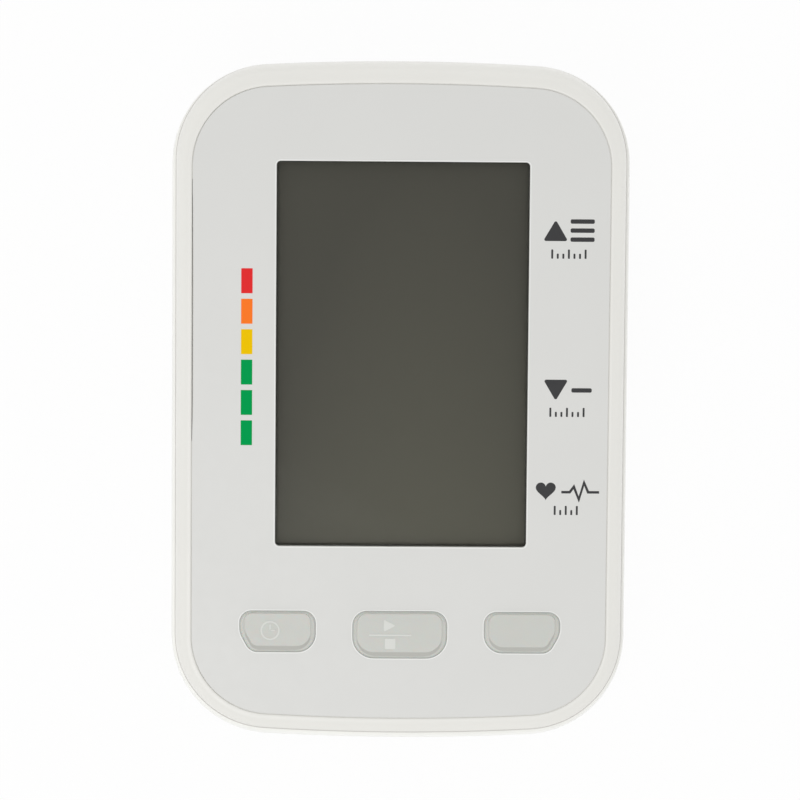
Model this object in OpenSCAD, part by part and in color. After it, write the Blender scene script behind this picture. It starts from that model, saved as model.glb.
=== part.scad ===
// Table unit of an upper-arm blood pressure monitor.
// Millimetres, +Z up, +X right, front towards -Y. The origin is the middle of the footprint, on the table.
// Letters in the sloped frame of the face panel: u across, v up the slope, w out of the panel.

/* [Housing] */
// Width of the housing at the parting line
body_w = 97.8; // [94:0.2:120]
// Length of the housing at the parting line, measured up the slope
body_l = 147.2; // [144:0.1:170]
// Corner radius of the housing at the parting line
body_corner = 20.8; // [18:0.2:24]
// Radius of the slight bow of both ends
end_bow = 520; // [300:10:1500]
// Slope of the face panel, in degrees
tilt = 8; // [6:0.5:10]
// Height of the face panel above the table, at the middle
mid_h = 41; // [40:0.5:50]
// Depth of the upper case below the face panel
bezel_h = 9; // [8.6:0.1:11]
// Wall of both cases
wall = 2; // [1.6:0.1:2.4]
// How far the lower case swells past the parting line at the sides
belly = 1.15; // [0:0.05:2]
// How far it swells at the front end
front_belly = 1.6; // [0:0.05:2.5]
// Inward taper of the lower case, from the swell to the bottom edge
draft = 1.2; // [0.6:0.1:2.5]
// Rounding along the bottom edge
edge_r = 5; // [4:0.5:7]
// Open seam at the parting line
seam = 0.2; // [0.1:0.05:0.4]
// Height of the lip that locates the two cases
lip_h = 1.4; // [1:0.1:2]
// Chamfer of both edges along the seam
edge_break = 0.15; // [0.1:0.05:0.3]

/* [Face panel] */
// Width of the bezel beside the face panel
rim_side = 3.9; // [3:0.1:5]
// Width of the bezel at the ends of the face panel
rim_end = 4.7; // [4:0.1:6]
// Corner radius of the face panel
panel_corner = 17; // [12:0.5:18]
// Thickness of the face panel
panel_t = 1; // [0.8:0.1:1.5]
// Gap round the face panel
panel_gap = 0.1; // [0.05:0.05:0.3]

/* [Display] */
// Width of the clear window
window_w = 54.5; // [50:0.5:55]
// Height of the clear window
window_l = 83.5; // [78:0.5:84]
// Window's middle, up the slope from the panel's middle
window_v = 10.5; // [9:0.1:11]
// Sideways place of the display and the keys
face_u = 0.3; // [-0.5:0.1:0.5]
// Border of the glass behind the panel, past the window
glass_border = 2.8; // [2.2:0.1:3]
// Thickness of the LCD glass
glass_t = 2.2; // [1.6:0.1:2.6]
// Thickness of the light guide behind the glass
guide_t = 2; // [1.5:0.1:2.5]

/* [Keys] */
// Distance of the outer keys from the middle one
key_pitch = 26.6; // [26:0.1:28]
// Outer keys' middle, down the slope from the panel's middle
side_key_v = 50; // [49.5:0.1:51]
// Width of an outer key
side_key_w = 16.5; // [14:0.1:17]
// Height of an outer key
side_key_l = 9; // [8:0.1:9.5]
// Middle key's middle, down the slope from the panel's middle
mid_key_v = 50.6; // [50:0.1:51.5]
// Width of the middle key
mid_key_w = 20.5; // [18:0.1:21]
// Height of the middle key
mid_key_l = 10.3; // [9:0.1:11]
// Gap round each key
key_gap = 0.3; // [0.2:0.05:0.5]
// How far the keys stand out of the panel
key_rise = 0.6; // [0.3:0.1:1]
// Travel of a key
key_travel = 0.8; // [0.4:0.1:1]

/* [Board] */
// Depth of the board's upper face below the face panel
board_depth = 10; // [9.5:0.1:11]
// Thickness of the board
board_t = 1.6; // [1:0.1:2]
// Width of the board
board_w = 65; // [60:1:66]

/* [Batteries] */
// Diameter of a cell
cell_d = 14.5; // [13.5:0.1:14.6]
// Length of a cell
cell_l = 50.5; // [49:0.5:50.5]
// Length of a battery spring
spring_l = 5.6; // [5:0.1:6.5]
// Distance of the battery bay from the rear end of the housing
bay_from_rear = 57; // [56.5:0.5:59]
// Thickness of the battery cover
cover_t = 1.6; // [1.2:0.1:1.7]
// Gap round the battery cover
cover_gap = 0.3; // [0.2:0.05:0.5]
// Width of the cover's latch
latch_w = 12; // [8:0.5:16]

/* [Air] */
// Diameter of the pump's head
pump_d = 27; // [24:0.5:27]
// Diameter of the pump's motor
motor_d = 24; // [20:0.5:24]
// Distance of the pump's motor from the left side of the housing
motor_from_left = 60.9; // [60.5:0.1:62]
// Room between the pump's motor and the case's right wall
motor_room = 6.9; // [6:0.1:12]
// Length of the pump's head
head_l = 24; // [20:0.5:25]
// Height of the air line above the table
air_z = 18; // [17.5:0.1:19]
// Distance of the air line from the rear end of the housing
air_from_rear = 29.6; // [29.2:0.1:29.9]
// Diameter of the hose plug's hole in the air socket
socket_d = 6.2; // [5:0.1:7]
// Depth of the hose plug's hole
socket_depth = 12; // [10:0.5:13]
// Outer diameter of the small nozzles
nozzle_d = 3; // [2.6:0.1:3.4]
// Wall of the soft hoses
hose_wall = 1.1; // [0.8:0.1:1.4]

/* [Power inlet] */
// Diameter of the hole for the adaptor's plug in the case
inlet_d = 8.8; // [8:0.1:9.6]
// Height of the inlet above the table
inlet_z = 12.5; // [12:0.1:14]
// Distance of the inlet from the rear end of the housing
inlet_from_rear = 49.8; // [49.6:0.1:50.4]

/* [Feet and screws] */
// Diameter of a foot
foot_d = 9; // [7:0.5:10]
// Height of a foot below the case
foot_h = 1.5; // [1:0.1:2]
// Depth of a foot's recess in the case
foot_recess = 0.9; // [0.5:0.1:1]
// Diameter of a case screw's head
head_d = 5.2; // [4.6:0.1:5.6]
// Diameter of a case screw's shank
shank_d = 2.8; // [2.2:0.1:3]
// Length of a case screw's shank
shank_l = 13; // [10:0.5:14]

/* [Hidden] */
$fn = 48;

// Steps of the outlines: along a housing corner, along half a bowed end, round a small corner
corner_steps = 11;
bow_steps = 3;
small_steps = 5;

// Far enough to cut clean through
cut = 1;
// Clearance between fixed pieces that fit in each other
fit = 0.1;

// Sloped frame. The shift puts the middle of the footprint at the origin.
slope_y = front_belly/2 - bezel_h*sin(tilt);
base_z = foot_h;
floor_z = base_z + wall;
ceiling_w = -panel_t - wall;

// Face panel
panel_w = body_w - 2*rim_side;
panel_l = body_l - 2*rim_end;

// Display
glass_w = window_w + 2*glass_border;
glass_l = window_l + 2*glass_border + 1;
gasket_t = 1;
gasket_show = 0.3;
glass_w_top = -panel_t - gasket_t;
guide_w_top = glass_w_top - glass_t;
ledge_w = guide_w_top - guide_t;
strip_t = 1.8;
holder_wall = 2.6;

// Board
board_w_low = -board_depth - board_t;
board_neck_w = 50;
board_neck_v = 56;
board_screw_d = 2.2;
board_screw_head_d = 4.4;
board_screw_head_t = 1.6;
board_screw_l = 6;
board_boss_d = 5.4;
// Screws of the board: the front pair between the keys, the rear pair past the display's holder
board_screw_u = (mid_key_w/2 + key_pitch - side_key_w/2)/2;
board_rear_u = 18;
board_rear_v = window_v + glass_l/2 + holder_wall + board_boss_d/2 + fit;
board_screw_at = [
    [face_u - board_screw_u, -side_key_v], [face_u + board_screw_u, -side_key_v],
    [-board_rear_u, board_rear_v], [board_rear_u, board_rear_v]
];
board_l_down = side_key_v + 10;
board_l_up = board_rear_v + board_screw_head_d/2;

// Keys
key_flange = 0.8;
key_flange_t = 1.3;
key_seat = 0.3;
key_flange_w = ceiling_w - key_seat;
switch_side = 6;
switch_w_top = -board_depth + 3.6;
plunger_d = 3.4;
plunger_gap = 0.3;
plunger_in = 2;

// Battery bay
cell_pitch = cell_d + 0.5;
cell_count = 4;
plate_t = 0.4;
bay_w = cell_count*cell_pitch + 0.6;
bay_l = cell_l + spring_l + 2*plate_t + 2*fit;
bay_rear = body_l/2 - bay_from_rear;
bay_front = bay_rear - bay_l;
bay_y = bay_rear - bay_l/2;
ledge = 1.7;
bay_wall = 1.8;
cover_top = base_z + cover_t;
cell_seat = 0.3;
cover_rib_h = 0.5;
cell_z = cover_top + cover_rib_h + cell_seat + cell_d/2;
bay_roof = cell_z + cell_d/2 + 0.5;
latch_zone = 9;
cover_w = bay_w + 2*ledge;
cover_front = bay_front - ledge;
cover_rear = bay_rear + ledge + latch_zone;
frame_wall = 2;
frame_top = floor_z + 2;
tab_w = 8;
tab_out = 2.4;
tab_t = 1.2;
tab_gap = 0.2;
tab_side_gap = 0.4;
tab_leg = 1.5;
tab_x = 20;
latch_h = 8;
latch_t = 1.2;
latch_leg_gap = 2.2;
latch_nose = 0.8;
latch_nose_h = 1.4;

// Battery springs
wire_d = 0.7;
spring_turns = 3.5;
rings_per_turn = 8;
wire_sides = 6;
spring_r_wide = 4.4;
spring_r_tip = 2.6;

// Air parts, measured from the left wall where the socket is
air_y = body_l/2 - air_from_rear;
head_x = motor_from_left - body_w/2;
motor_l = body_w/2 - wall - motor_room - head_x;
manifold_side = 8;
nozzle_l = 3.5;
manifold_x = head_x - head_l - 2*nozzle_l - 1 - manifold_side/2;
hose_d = nozzle_d + 2*fit + 2*hose_wall;
hose_sides = 12;
collar_d = 10;
socket_flange_d = 12;
socket_flange_t = 1.4;
side_boss_r = 7;
side_boss_in = 4.5;
foam_gap = 0.05;
valve_size = [16, 9, 12];
sensor_size = [9, 9, 4];
// The sensor's nozzle points at the middle of the hose that rises from the manifold
kink_z = air_z + manifold_side/2 + nozzle_l + 0.6;
sensor_at = [manifold_x, (air_y - slope_y)*cos(tilt) + (kink_z - mid_h)*sin(tilt)];

// Power inlet
inlet_y = body_l/2 - inlet_from_rear;
inlet_body = [13, 9, 11];
inlet_pin_d = 2;

// Screws: middle of each post, the front pair past the keys, the rear pair in the rear corners
boss_r = 4;
post_r = 3.2;
post_front = [key_pitch + side_key_w/2 + 3.65, -side_key_v - 4];
post_rear = [body_w/2 - 12.1, body_l/2 - 12];
web = 6;
post_drop = 6;

// Feet: middle of each, the front pair below the keys
foot_front = [body_w/2 - 20.9, -side_key_v - 4.5];
foot_rear = [body_w/2 - 13.4, body_l/2 - 26.6];

// ---------------------------------------------------------------- outlines

function mix(a, b, t) = a + (b - a)*t;

// Height on the table frame of a point of the sloped frame
function high(v, w) = mid_h + v*sin(tilt) + w*cos(tilt);
// Forward or back place of a point of the sloped frame
function back(v, w) = slope_y + v*cos(tilt) - w*sin(tilt);
// Height of the parting plane above a place y
function parting_z(y) = high((y - slope_y - bezel_h*sin(tilt))/cos(tilt), -bezel_h);

// Angle at which a corner of radius r runs into the bow of radius b
function bow_angle(hw, r, b) = acos((hw - r)/(b - r));
function corner_mid(hw, hl, r, b) = hl - b + sqrt(pow(b - r, 2) - pow(hw - r, 2));

function quarter_angles(hw, r, b) = let (a = bow_angle(hw, r, b)) [
    for (i = [0:corner_steps]) a*i/corner_steps,
    for (i = [1:bow_steps - 1]) mix(a, 90, i/bow_steps)
];

// A quarter of the housing's outline: a round corner, then half of the bowed end
function quarter(hw, hl, r, b) = let (y = corner_mid(hw, hl, r, b), a = bow_angle(hw, r, b)) [
    for (q = quarter_angles(hw, r, b))
        q <= a + 0.001 ? [hw - r + r*cos(q), y + r*sin(q)] : [b*cos(q), hl - b + b*sin(q)]
];

function reversed(list) = [for (i = [len(list) - 1:-1:0]) list[i]];

// Four quarters of points or directions, joined at the middle of each end
function around(q, end) = concat(
    q,
    [[0, end]],
    reversed([for (p = q) [-p.x, p.y]]),
    [for (p = q) [-p.x, -p.y]],
    [[0, -end]],
    reversed([for (p = q) [p.x, -p.y]])
);

// The parting outline at share 1, the panel's recess at share 0, moved in by inset
function shell_outline(share, inset) =
    let (hw = mix(panel_w/2 + panel_gap, body_w/2, share) - inset)
    let (hl = mix(panel_l/2 + panel_gap, body_l/2, share) - inset)
    let (r = mix(panel_corner + panel_gap, body_corner, share) - inset)
    around(quarter(hw, hl, r, end_bow - inset), hl);

shell_directions = around([
    for (q = quarter_angles(body_w/2, body_corner, end_bow)) [cos(q), sin(q)]
], 1);

function panel_outline() = around(
    quarter(panel_w/2, panel_l/2, panel_corner, end_bow), panel_l/2
);

// A polygon with its own radius at each corner, moved out by grow
function unit(p) = p/norm(p);
function outward(p, q) = let (d = unit(q - p)) [d.y, -d.x];
function meeting(p, q, r, grow) =
    let (n = outward(p, q), m = outward(q, r)) q + (n + m)*grow/(1 + n*m);
function arc(p, q, r, radius) =
    let (a = unit(p - q), b = unit(r - q), half = acos(a*b)/2)
    let (c = q + unit(a + b)*radius/sin(half), s = q + a*radius/tan(half) - c)
    [for (i = [0:small_steps])
        c + radius*[for (t = [0, -90]) cos(atan2(s.y, s.x) + (180 - 2*half)*i/small_steps + t)]];
function rounded(points, radii, grow = 0) =
    let (n = len(points))
    let (p = [for (i = [0:n - 1]) meeting(points[(i + n - 1) % n], points[i], points[(i + 1) % n], grow)])
    [for (i = [0:n - 1]) each arc(p[(i + n - 1) % n], p[i], p[(i + 1) % n], max(0.3, radii[i] + grow))];

function box_outline(w, l, r, grow = 0) =
    rounded([[-w/2, -l/2], [w/2, -l/2], [w/2, l/2], [-w/2, l/2]], [r, r, r, r], grow);

// Outer key with its outer lower corner cut off along the housing's corner
cut_across = 2.3;
cut_up = 4.2;
side_key_corners = [2.2, 4, 2.7, 2.4, 2.6];
mid_key_corners = [4.6, 4.6, 3.1, 3.1];
function side_key_outline(side, grow) =
    let (w = side_key_w/2, l = side_key_l/2)
    let (p = rounded(
        [[-w + cut_across, -l], [w, -l], [w, l], [-w, l], [-w, -l + cut_up]],
        side_key_corners, grow))
    side < 0 ? p : reversed([for (q = p) [-q.x, q.y]]);

function mid_key_outline(grow) =
    let (w = mid_key_w/2, l = mid_key_l/2)
    rounded([[-w, -l], [w, -l], [w, l], [-w, l]], mid_key_corners, grow);

function key_outline(side, grow = 0) = side == 0 ? mid_key_outline(grow) : side_key_outline(side, grow);
function key_at(side) = [face_u + side*key_pitch, side == 0 ? -mid_key_v : -side_key_v];

// ---------------------------------------------------------------- building blocks

// Places children in the sloped frame of the face panel
module sloped() {
    translate([0, slope_y, mid_h]) rotate([tilt, 0, 0]) children();
}

// A flat plate in the sloped frame between two depths
module layer(low, high_w) {
    translate([0, 0, low]) linear_extrude(high_w - low) children();
}

// One closed skin through a list of rings. The first ring's cap looks up, the last one's down.
module loft(rings) {
    n = len(rings[0]);
    side_faces = [
        for (k = [0:len(rings) - 2], i = [0:n - 1]) let (j = (i + 1) % n)
            each [[k*n + i, k*n + j, (k + 1)*n + j], [k*n + i, (k + 1)*n + j, (k + 1)*n + i]]
    ];
    polyhedron(
        points = [for (ring = rings) each ring],
        faces = concat(
            [[for (i = [n - 1:-1:0]) i]],
            side_faces,
            [[for (i = [0:n - 1]) (len(rings) - 1)*n + i]]
        ),
        convexity = 8
    );
}

// Direction along a path at point i
function along(path, i) = unit(path[min(i + 1, len(path) - 1)] - path[max(i - 1, 0)]);

// A ring of points about a path's point, square to it. side is any direction across the path.
function path_ring(p, d, side, r, sides) =
    let (a = unit(cross(side, d)), b = cross(d, a))
    [for (k = [0:sides - 1]) p + r*(a*cos(360*k/sides) + b*sin(360*k/sides))];

// Solid round wire along a path
module wire(path, d, side, sides) {
    loft([for (i = [0:len(path) - 1]) path_ring(path[i], -along(path, i), side, d/2, sides)]);
}

// Soft hose with its bore, along a path: the outer skin up, the bore back, closed at both ends
module hose(path, outer, inner, side) {
    n = hose_sides;
    last = len(path) - 1;
    rings = concat(
        [for (i = [0:last]) path_ring(path[i], -along(path, i), side, outer/2, n)],
        [for (i = [last:-1:0]) path_ring(path[i], -along(path, i), side, inner/2, n)]
    );
    count = len(rings);
    polyhedron(
        points = [for (ring = rings) each ring],
        faces = [
            for (k = [0:count - 1], i = [0:n - 1]) let (m = (k + 1) % count, j = (i + 1) % n)
                each [[k*n + i, k*n + j, m*n + j], [k*n + i, m*n + j, m*n + i]]
        ],
        convexity = 8
    );
}

module tube_x(x, l, outer, inner) {
    translate([x, 0, 0]) rotate([0, 90, 0]) difference() {
        cylinder(d = outer, h = l);
        translate([0, 0, -cut]) cylinder(d = inner, h = l + 2*cut);
    }
}

module rod_x(x, l, d) {
    translate([x, 0, 0]) rotate([0, 90, 0]) cylinder(d = d, h = l);
}

module rod_y(y, l, d) {
    translate([0, y, 0]) rotate([-90, 0, 0]) cylinder(d = d, h = l);
}

module pair(at) {
    for (side = [-1, 1]) translate([side*at.x, at.y, 0]) children();
}

module block(x, y, z) {
    translate([x[0], y[0], z[0]]) cube([x[1] - x[0], y[1] - y[0], z[1] - z[0]]);
}

// ---------------------------------------------------------------- cases

// Bezel section from the recess floor over the crown to the rim, then back up inside.
// Each entry is share of the flare, inset, depth below the panel plane.
bezel_section = [
    [0, 0, -panel_t],
    [0, 0, -0.25],
    [0.04, 0, -0.07],
    [0.12, 0, 0],
    [0.3, 0, -0.1],
    [0.52, 0, -0.6],
    [0.72, 0, -1.6],
    [0.88, 0, -3.3],
    [0.97, 0, -5.8],
    [1, 0, -bezel_h + edge_break],
    [1, edge_break, -bezel_h],
    [1, wall/2 - fit/2, -bezel_h],
    [1, wall/2 - fit/2, -bezel_h + lip_h + fit],
    [1, wall, -bezel_h + lip_h + fit],
    [0.9, wall, ceiling_w - 1.6],
    [0.7, wall, ceiling_w - 0.5],
    [0.45, wall, ceiling_w]
];

module upper_case() {
    color("white") {
        difference() {
            union() {
                sloped() loft([
                    for (s = bezel_section) [for (p = shell_outline(s[0], s[1])) [p.x, p.y, s[2]]]
                ]);
                sloped() for (p = board_screw_at) translate([p.x, p.y, -board_depth])
                    cylinder(d = board_boss_d, h = board_depth - panel_t - wall/2);
                case_posts();
            }
            sloped() translate([face_u, window_v, 0]) layer(ceiling_w - cut, -panel_t + cut)
                polygon(box_outline(glass_w + 1, glass_l + 1, 0.5));
            sloped() for (side = [-1:1]) translate(key_at(side)) layer(ceiling_w - cut, -panel_t + cut)
                polygon(key_outline(side, key_gap));
            sloped() for (p = board_screw_at) translate([p.x, p.y, -board_depth - cut])
                cylinder(d = board_screw_d + fit, h = board_screw_l + cut);
            for (at = [post_front, post_rear]) pair(at) translate([0, 0, post_z(at) - cut])
                cylinder(d = shank_d + fit, h = shank_l - web + cut + 1);
        }
    }
}

// Height at which an upper post stands on its lower boss
function post_z(at) = parting_z(at.y) - post_drop;

module case_posts() {
    for (at = [post_front, post_rear]) pair(at) translate([0, 0, post_z(at) + fit])
        cylinder(r = post_r, h = post_top(at) - post_z(at) - fit);
}

// Just inside the ceiling, above a post
function post_top(at) = high((at.y - slope_y)/cos(tilt), ceiling_w + wall/2) - post_r*sin(tilt);

// The belly in a direction: none at the rear end, most at the front
function belly_at(d) = d.y > 0 ? belly*(1 - d.y*d.y) : mix(belly, front_belly, d.y*d.y);

// Ring of the lower case. inset moves it in, swell is the share of the belly, follow is the
// share in which it follows the sloped parting plane, up is its height past that.
function lower_ring(inset, swell, follow, up) =
    let (outline = shell_outline(1, inset))
    [for (i = [0:len(outline) - 1])
        let (d = shell_directions[i], b = swell*belly_at(d))
        let (u = outline[i].x + b*d.x, v = outline[i].y + b*d.y)
        [u, back(v, -bezel_h), mix(base_z, high(v, -bezel_h), follow) + up]];

// Ring of the rim, square to the parting plane
function rim_ring(inset, up) = [
    for (p = shell_outline(1, inset)) [p.x, back(p.y, up - bezel_h), high(p.y, up - bezel_h)]
];

// Ring of the rounded bottom edge
function edge_ring(r, angle) =
    lower_ring(draft + edge_r - r*sin(angle), 0.6, 0, edge_r - r*cos(angle));

// From the inner floor up to the lip, over the rim and down outside to the flat bottom
lower_section = [
    edge_ring(edge_r - wall, 0),
    edge_ring(edge_r - wall, 45),
    edge_ring(edge_r - wall, 90),
    lower_ring(wall + 0.45, 0.92, 0.48, 0),
    lower_ring(wall + 0.1, 1, 0.74, 0),
    lower_ring(wall, 0.5, 1, -1.5),
    rim_ring(wall, lip_h),
    rim_ring(wall/2 + fit/2, lip_h),
    rim_ring(wall/2 + fit/2, -seam),
    rim_ring(edge_break, -seam),
    rim_ring(0, -seam - edge_break),
    lower_ring(0, 0.5, 1, -1.5),
    lower_ring(0, 0.85, 1, -3.2),
    lower_ring(0.1, 1, 0.74, 0),
    lower_ring(0.45, 0.92, 0.48, 0),
    edge_ring(edge_r, 90),
    edge_ring(edge_r, 60),
    edge_ring(edge_r, 30),
    edge_ring(edge_r, 0)
];

module lower_case() {
    color("whitesmoke") difference() {
        union() {
            loft(lower_section);
            bay_box();
            latch_box();
            for (at = [post_front, post_rear]) pair(at) translate([0, 0, base_z + wall/2])
                cylinder(r = boss_r, h = post_z(at) - base_z - wall/2);
            pump_saddles();
            valve_stand();
            inlet_stand();
            side_bosses();
        }
        bay_room();
        latch_room();
        tab_rooms();
        for (at = [post_front, post_rear]) pair(at) {
            translate([0, 0, base_z - cut]) cylinder(d = head_d + 0.8, h = post_z(at) - web - base_z + cut);
            translate([0, 0, base_z]) cylinder(d = shank_d + 0.4, h = post_z(at) - base_z + cut);
        }
        for (at = [foot_front, foot_rear]) pair(at) translate([0, 0, base_z - cut])
            cylinder(d = foot_d + 2*fit, h = foot_recess + cut);
        translate([0, air_y, air_z]) rod_x(-body_w, body_w - hole_depth_x, collar_d + fit);
        translate([0, inlet_y, inlet_z]) rod_x(hole_depth_x, body_w - hole_depth_x, inlet_d);
    }
}

// Inner end of the bosses behind the side holes
hole_depth_x = body_w/2 - side_boss_in - wall/2;

module bay_box() {
    block([-cover_w/2 - frame_wall, cover_w/2 + frame_wall],
        [cover_front - frame_wall, cover_rear + frame_wall], [base_z + wall/2, frame_top]);
    block([-bay_w/2 - bay_wall, bay_w/2 + bay_wall], [bay_front - bay_wall, bay_rear + bay_wall],
        [floor_z, bay_roof + bay_wall]);
}

module bay_room() {
    block([-cover_w/2 - cover_gap, cover_w/2 + cover_gap], [cover_front - cover_gap, cover_rear + cover_gap],
        [base_z - cut, cover_top + fit]);
    block([-bay_w/2, bay_w/2], [bay_front, bay_rear], [base_z, bay_roof]);
}

// Pocket behind the bay for the cover's spring latch
latch_mid = bay_rear + ledge + latch_zone/2;
module latch_box() {
    block([-latch_w/2 - 3, latch_w/2 + 3], [bay_rear + bay_wall/2, cover_rear + latch_nose + 2.2],
        [floor_z, base_z + latch_h + 3.4]);
}

module latch_room() {
    block([-latch_w/2 - 1, latch_w/2 + 1], [bay_rear + bay_wall + 0.8, cover_rear + latch_nose + 0.7],
        [floor_z + fit, base_z + latch_h + 1.6]);
    block([-latch_w/2 - 1, latch_w/2 + 1], [bay_rear + bay_wall + 0.8, cover_rear],
        [base_z, floor_z + cut]);
}

// Room for the two tabs that hook over the floor at the front of the cover, and a slot for each leg
module tab_rooms() {
    half = tab_w/2 + tab_side_gap;
    for (x = [-tab_x, tab_x]) {
        block([x - half, x + half], [cover_front - tab_out - 0.8, bay_front + cut],
            [floor_z, floor_z + tab_t + 2.4]);
        block([x - half, x + half], [cover_front - cover_gap, bay_front + cut], [base_z, floor_z + cut]);
    }
}

// Ribs across the case that carry the pump
saddle_t = 2;
saddle_x = [head_x - head_l + 8, head_x + 6, head_x + motor_l - 8];
module pump_saddles() {
    for (x = saddle_x) difference() {
        block([x, x + saddle_t], [air_y - pump_d/2 - wall, air_y + pump_d/2 + wall],
            [base_z + wall/2, air_z]);
        translate([0, air_y, air_z]) rod_x(x - cut, saddle_t + 2*cut, pump_d + 2*fit);
    }
}

valve_y = air_y + manifold_side/2 + 2*nozzle_l + 3.5;
module valve_stand() {
    block([manifold_x - 5, manifold_x - 5 + valve_size.x], [valve_y + 1, valve_y + valve_size.y],
        [base_z + wall/2, air_z - valve_size.z/2]);
}

inlet_x = hole_depth_x - fit;
module inlet_stand() {
    block([inlet_x - inlet_body.x + 1, inlet_x], [inlet_y - 3, inlet_y + 3],
        [base_z + wall/2, inlet_z - inlet_body.z/2]);
}

// Flat seats behind the two side holes, run out into the wall
module side_bosses() {
    translate([0, air_y, air_z]) rod_x(-body_w/2 + wall/2, side_boss_in, 2*side_boss_r);
    translate([0, inlet_y, inlet_z]) rod_x(hole_depth_x, side_boss_in, 2*side_boss_r - 1);
}

module feet() {
    color("dimgray") for (at = [foot_front, foot_rear]) pair(at) {
        rotate_extrude() polygon([
            [0, 0], [foot_d/2 - 0.7, 0], [foot_d/2 - 0.2, 0.2], [foot_d/2, 0.7],
            [foot_d/2, foot_h + foot_recess], [0, foot_h + foot_recess]
        ]);
    }
}

module case_screws() {
    color("silver") for (at = [post_front, post_rear]) pair(at) translate([0, 0, post_z(at) - web]) {
        difference() {
            translate([0, 0, -2]) cylinder(d = head_d, h = 2);
            for (a = [0, 90]) rotate(a) block([-1.5, 1.5], [-0.35, 0.35], [-3, -1]);
        }
        cylinder(d = shank_d, h = shank_l);
    }
}

// ---------------------------------------------------------------- face and display

module face_panel() {
    color("gainsboro") sloped() layer(-panel_t, 0) difference() {
        polygon(panel_outline());
        translate([face_u, window_v]) polygon(box_outline(window_w, window_l, 0.9));
        for (side = [-1:1]) translate(key_at(side)) polygon(key_outline(side, key_gap));
    }
}

module display_window() {
    color("darkslategray") sloped() translate([face_u, window_v, 0]) layer(-panel_t, 0)
        polygon(box_outline(window_w, window_l, 0.9, -0.05));
}

module display_gasket() {
    color("black") sloped() translate([face_u, window_v, 0]) layer(glass_w_top, -panel_t) difference() {
        square([glass_w, glass_l], center = true);
        square([window_w - 2*gasket_show, window_l - 2*gasket_show], center = true);
    }
}

module lcd_glass() {
    color("darkolivegreen") sloped() translate([face_u, window_v, 0]) layer(guide_w_top, glass_w_top)
        square([glass_w, glass_l], center = true);
}

module light_guide() {
    color("ivory") sloped() translate([face_u, window_v, 0]) layer(ledge_w, guide_w_top)
        square([glass_w, glass_l - 2*strip_t - 4], center = true);
}

module lcd_holder() {
    color("white") sloped() translate([face_u, window_v, 0]) difference() {
        layer(-board_depth, ceiling_w)
            polygon(box_outline(glass_w + 2*holder_wall, glass_l + 2*holder_wall, 1));
        layer(ledge_w, ceiling_w + cut) square([glass_w + 2*fit, glass_l + 2*fit], center = true);
        layer(-board_depth - cut, ceiling_w + cut) square([glass_w - 8, glass_l + 2*fit], center = true);
    }
}

module contact_strips() {
    color("dimgray") sloped() translate([face_u, window_v, 0]) for (side = [-1, 1])
        translate([0, side*(glass_l/2 - strip_t/2 - 0.3), 0]) layer(-board_depth, guide_w_top)
            square([glass_w - 9, strip_t], center = true);
}

// ---------------------------------------------------------------- board

module main_board() {
    color("darkgreen") sloped() difference() {
        layer(board_w_low, -board_depth) union() {
            translate([-board_w/2, -board_l_down]) square([board_w, board_l_down + board_neck_v]);
            translate([-board_neck_w/2, -board_l_down]) square([board_neck_w, board_l_down + board_l_up]);
        }
        for (p = board_screw_at) translate([p.x, p.y, board_w_low - cut])
            cylinder(d = board_screw_d + 0.4, h = board_t + 2*cut);
    }
}

// Parts under the board: left, front, width, length, height
chip = [-7, -2, 14, 14, 1.6];
small_chips = [[14, 20, 5, 6, 1.4], [-20, -28, 6, 4, 1.4], [-28, 8, 10, 1.6, 2.4]];
crystal = [12, -14, 10.5, 4, 3.2];
plug_rows = [[20, -26, 8, 5, 4.5], [20, 18, 8, 5, 4.5]];
capacitor_at = [[24, 4], [24, 14]];
capacitor_d = 5;
capacitor_h = 6;

module board_part(p) {
    block([p[0], p[0] + p[2]], [p[1], p[1] + p[3]], [-p[4], 0]);
}

module board_parts() {
    sloped() translate([0, 0, board_w_low]) {
        color("black") board_part(chip);
        color("black") for (p = small_chips) board_part(p);
        color("silver") board_part(crystal);
        color("navy") for (p = capacitor_at) translate([p.x, p.y, -capacitor_h])
            cylinder(d = capacitor_d, h = capacitor_h);
        color("ivory") for (p = plug_rows) board_part(p);
    }
}

module board_screws() {
    color("silver") sloped() for (p = board_screw_at) translate([p.x, p.y, board_w_low]) {
        difference() {
            translate([0, 0, -board_screw_head_t]) cylinder(d = board_screw_head_d, h = board_screw_head_t);
            for (a = [0, 90]) rotate(a) block([-1.2, 1.2], [-0.3, 0.3], [-3, -0.9]);
        }
        cylinder(d = board_screw_d, h = board_screw_l);
    }
}

module key_switches() {
    color("dimgray") sloped() for (side = [-1:1]) translate(key_at(side)) difference() {
        layer(-board_depth, switch_w_top) square(switch_side, center = true);
        translate([0, 0, switch_w_top - plunger_in - key_travel - plunger_gap])
            cylinder(d = plunger_d + 2*plunger_gap, h = 10);
    }
}

// Foot of the key's stem, where the plunger stands against it
stem_w = switch_w_top + key_travel + 0.2;

module key_plunger(side) {
    color("ivory") sloped() translate(key_at(side)) translate([0, 0, switch_w_top - plunger_in])
        cylinder(d = plunger_d, h = stem_w - switch_w_top + plunger_in);
}

module left_plunger() { key_plunger(-1); }
module centre_plunger() { key_plunger(0); }
module right_plunger() { key_plunger(1); }

// Key section: how far the outline is grown, and its depth
key_bevel = 0.8;
key_section = [
    [-key_bevel - 1.2, key_rise],
    [-key_bevel, key_rise - 0.04],
    [-0.25, key_rise - 0.32],
    [0, key_rise - 0.62],
    [0, key_flange_w],
    [key_flange, key_flange_w],
    [key_flange, key_flange_w - key_flange_t]
];

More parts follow.
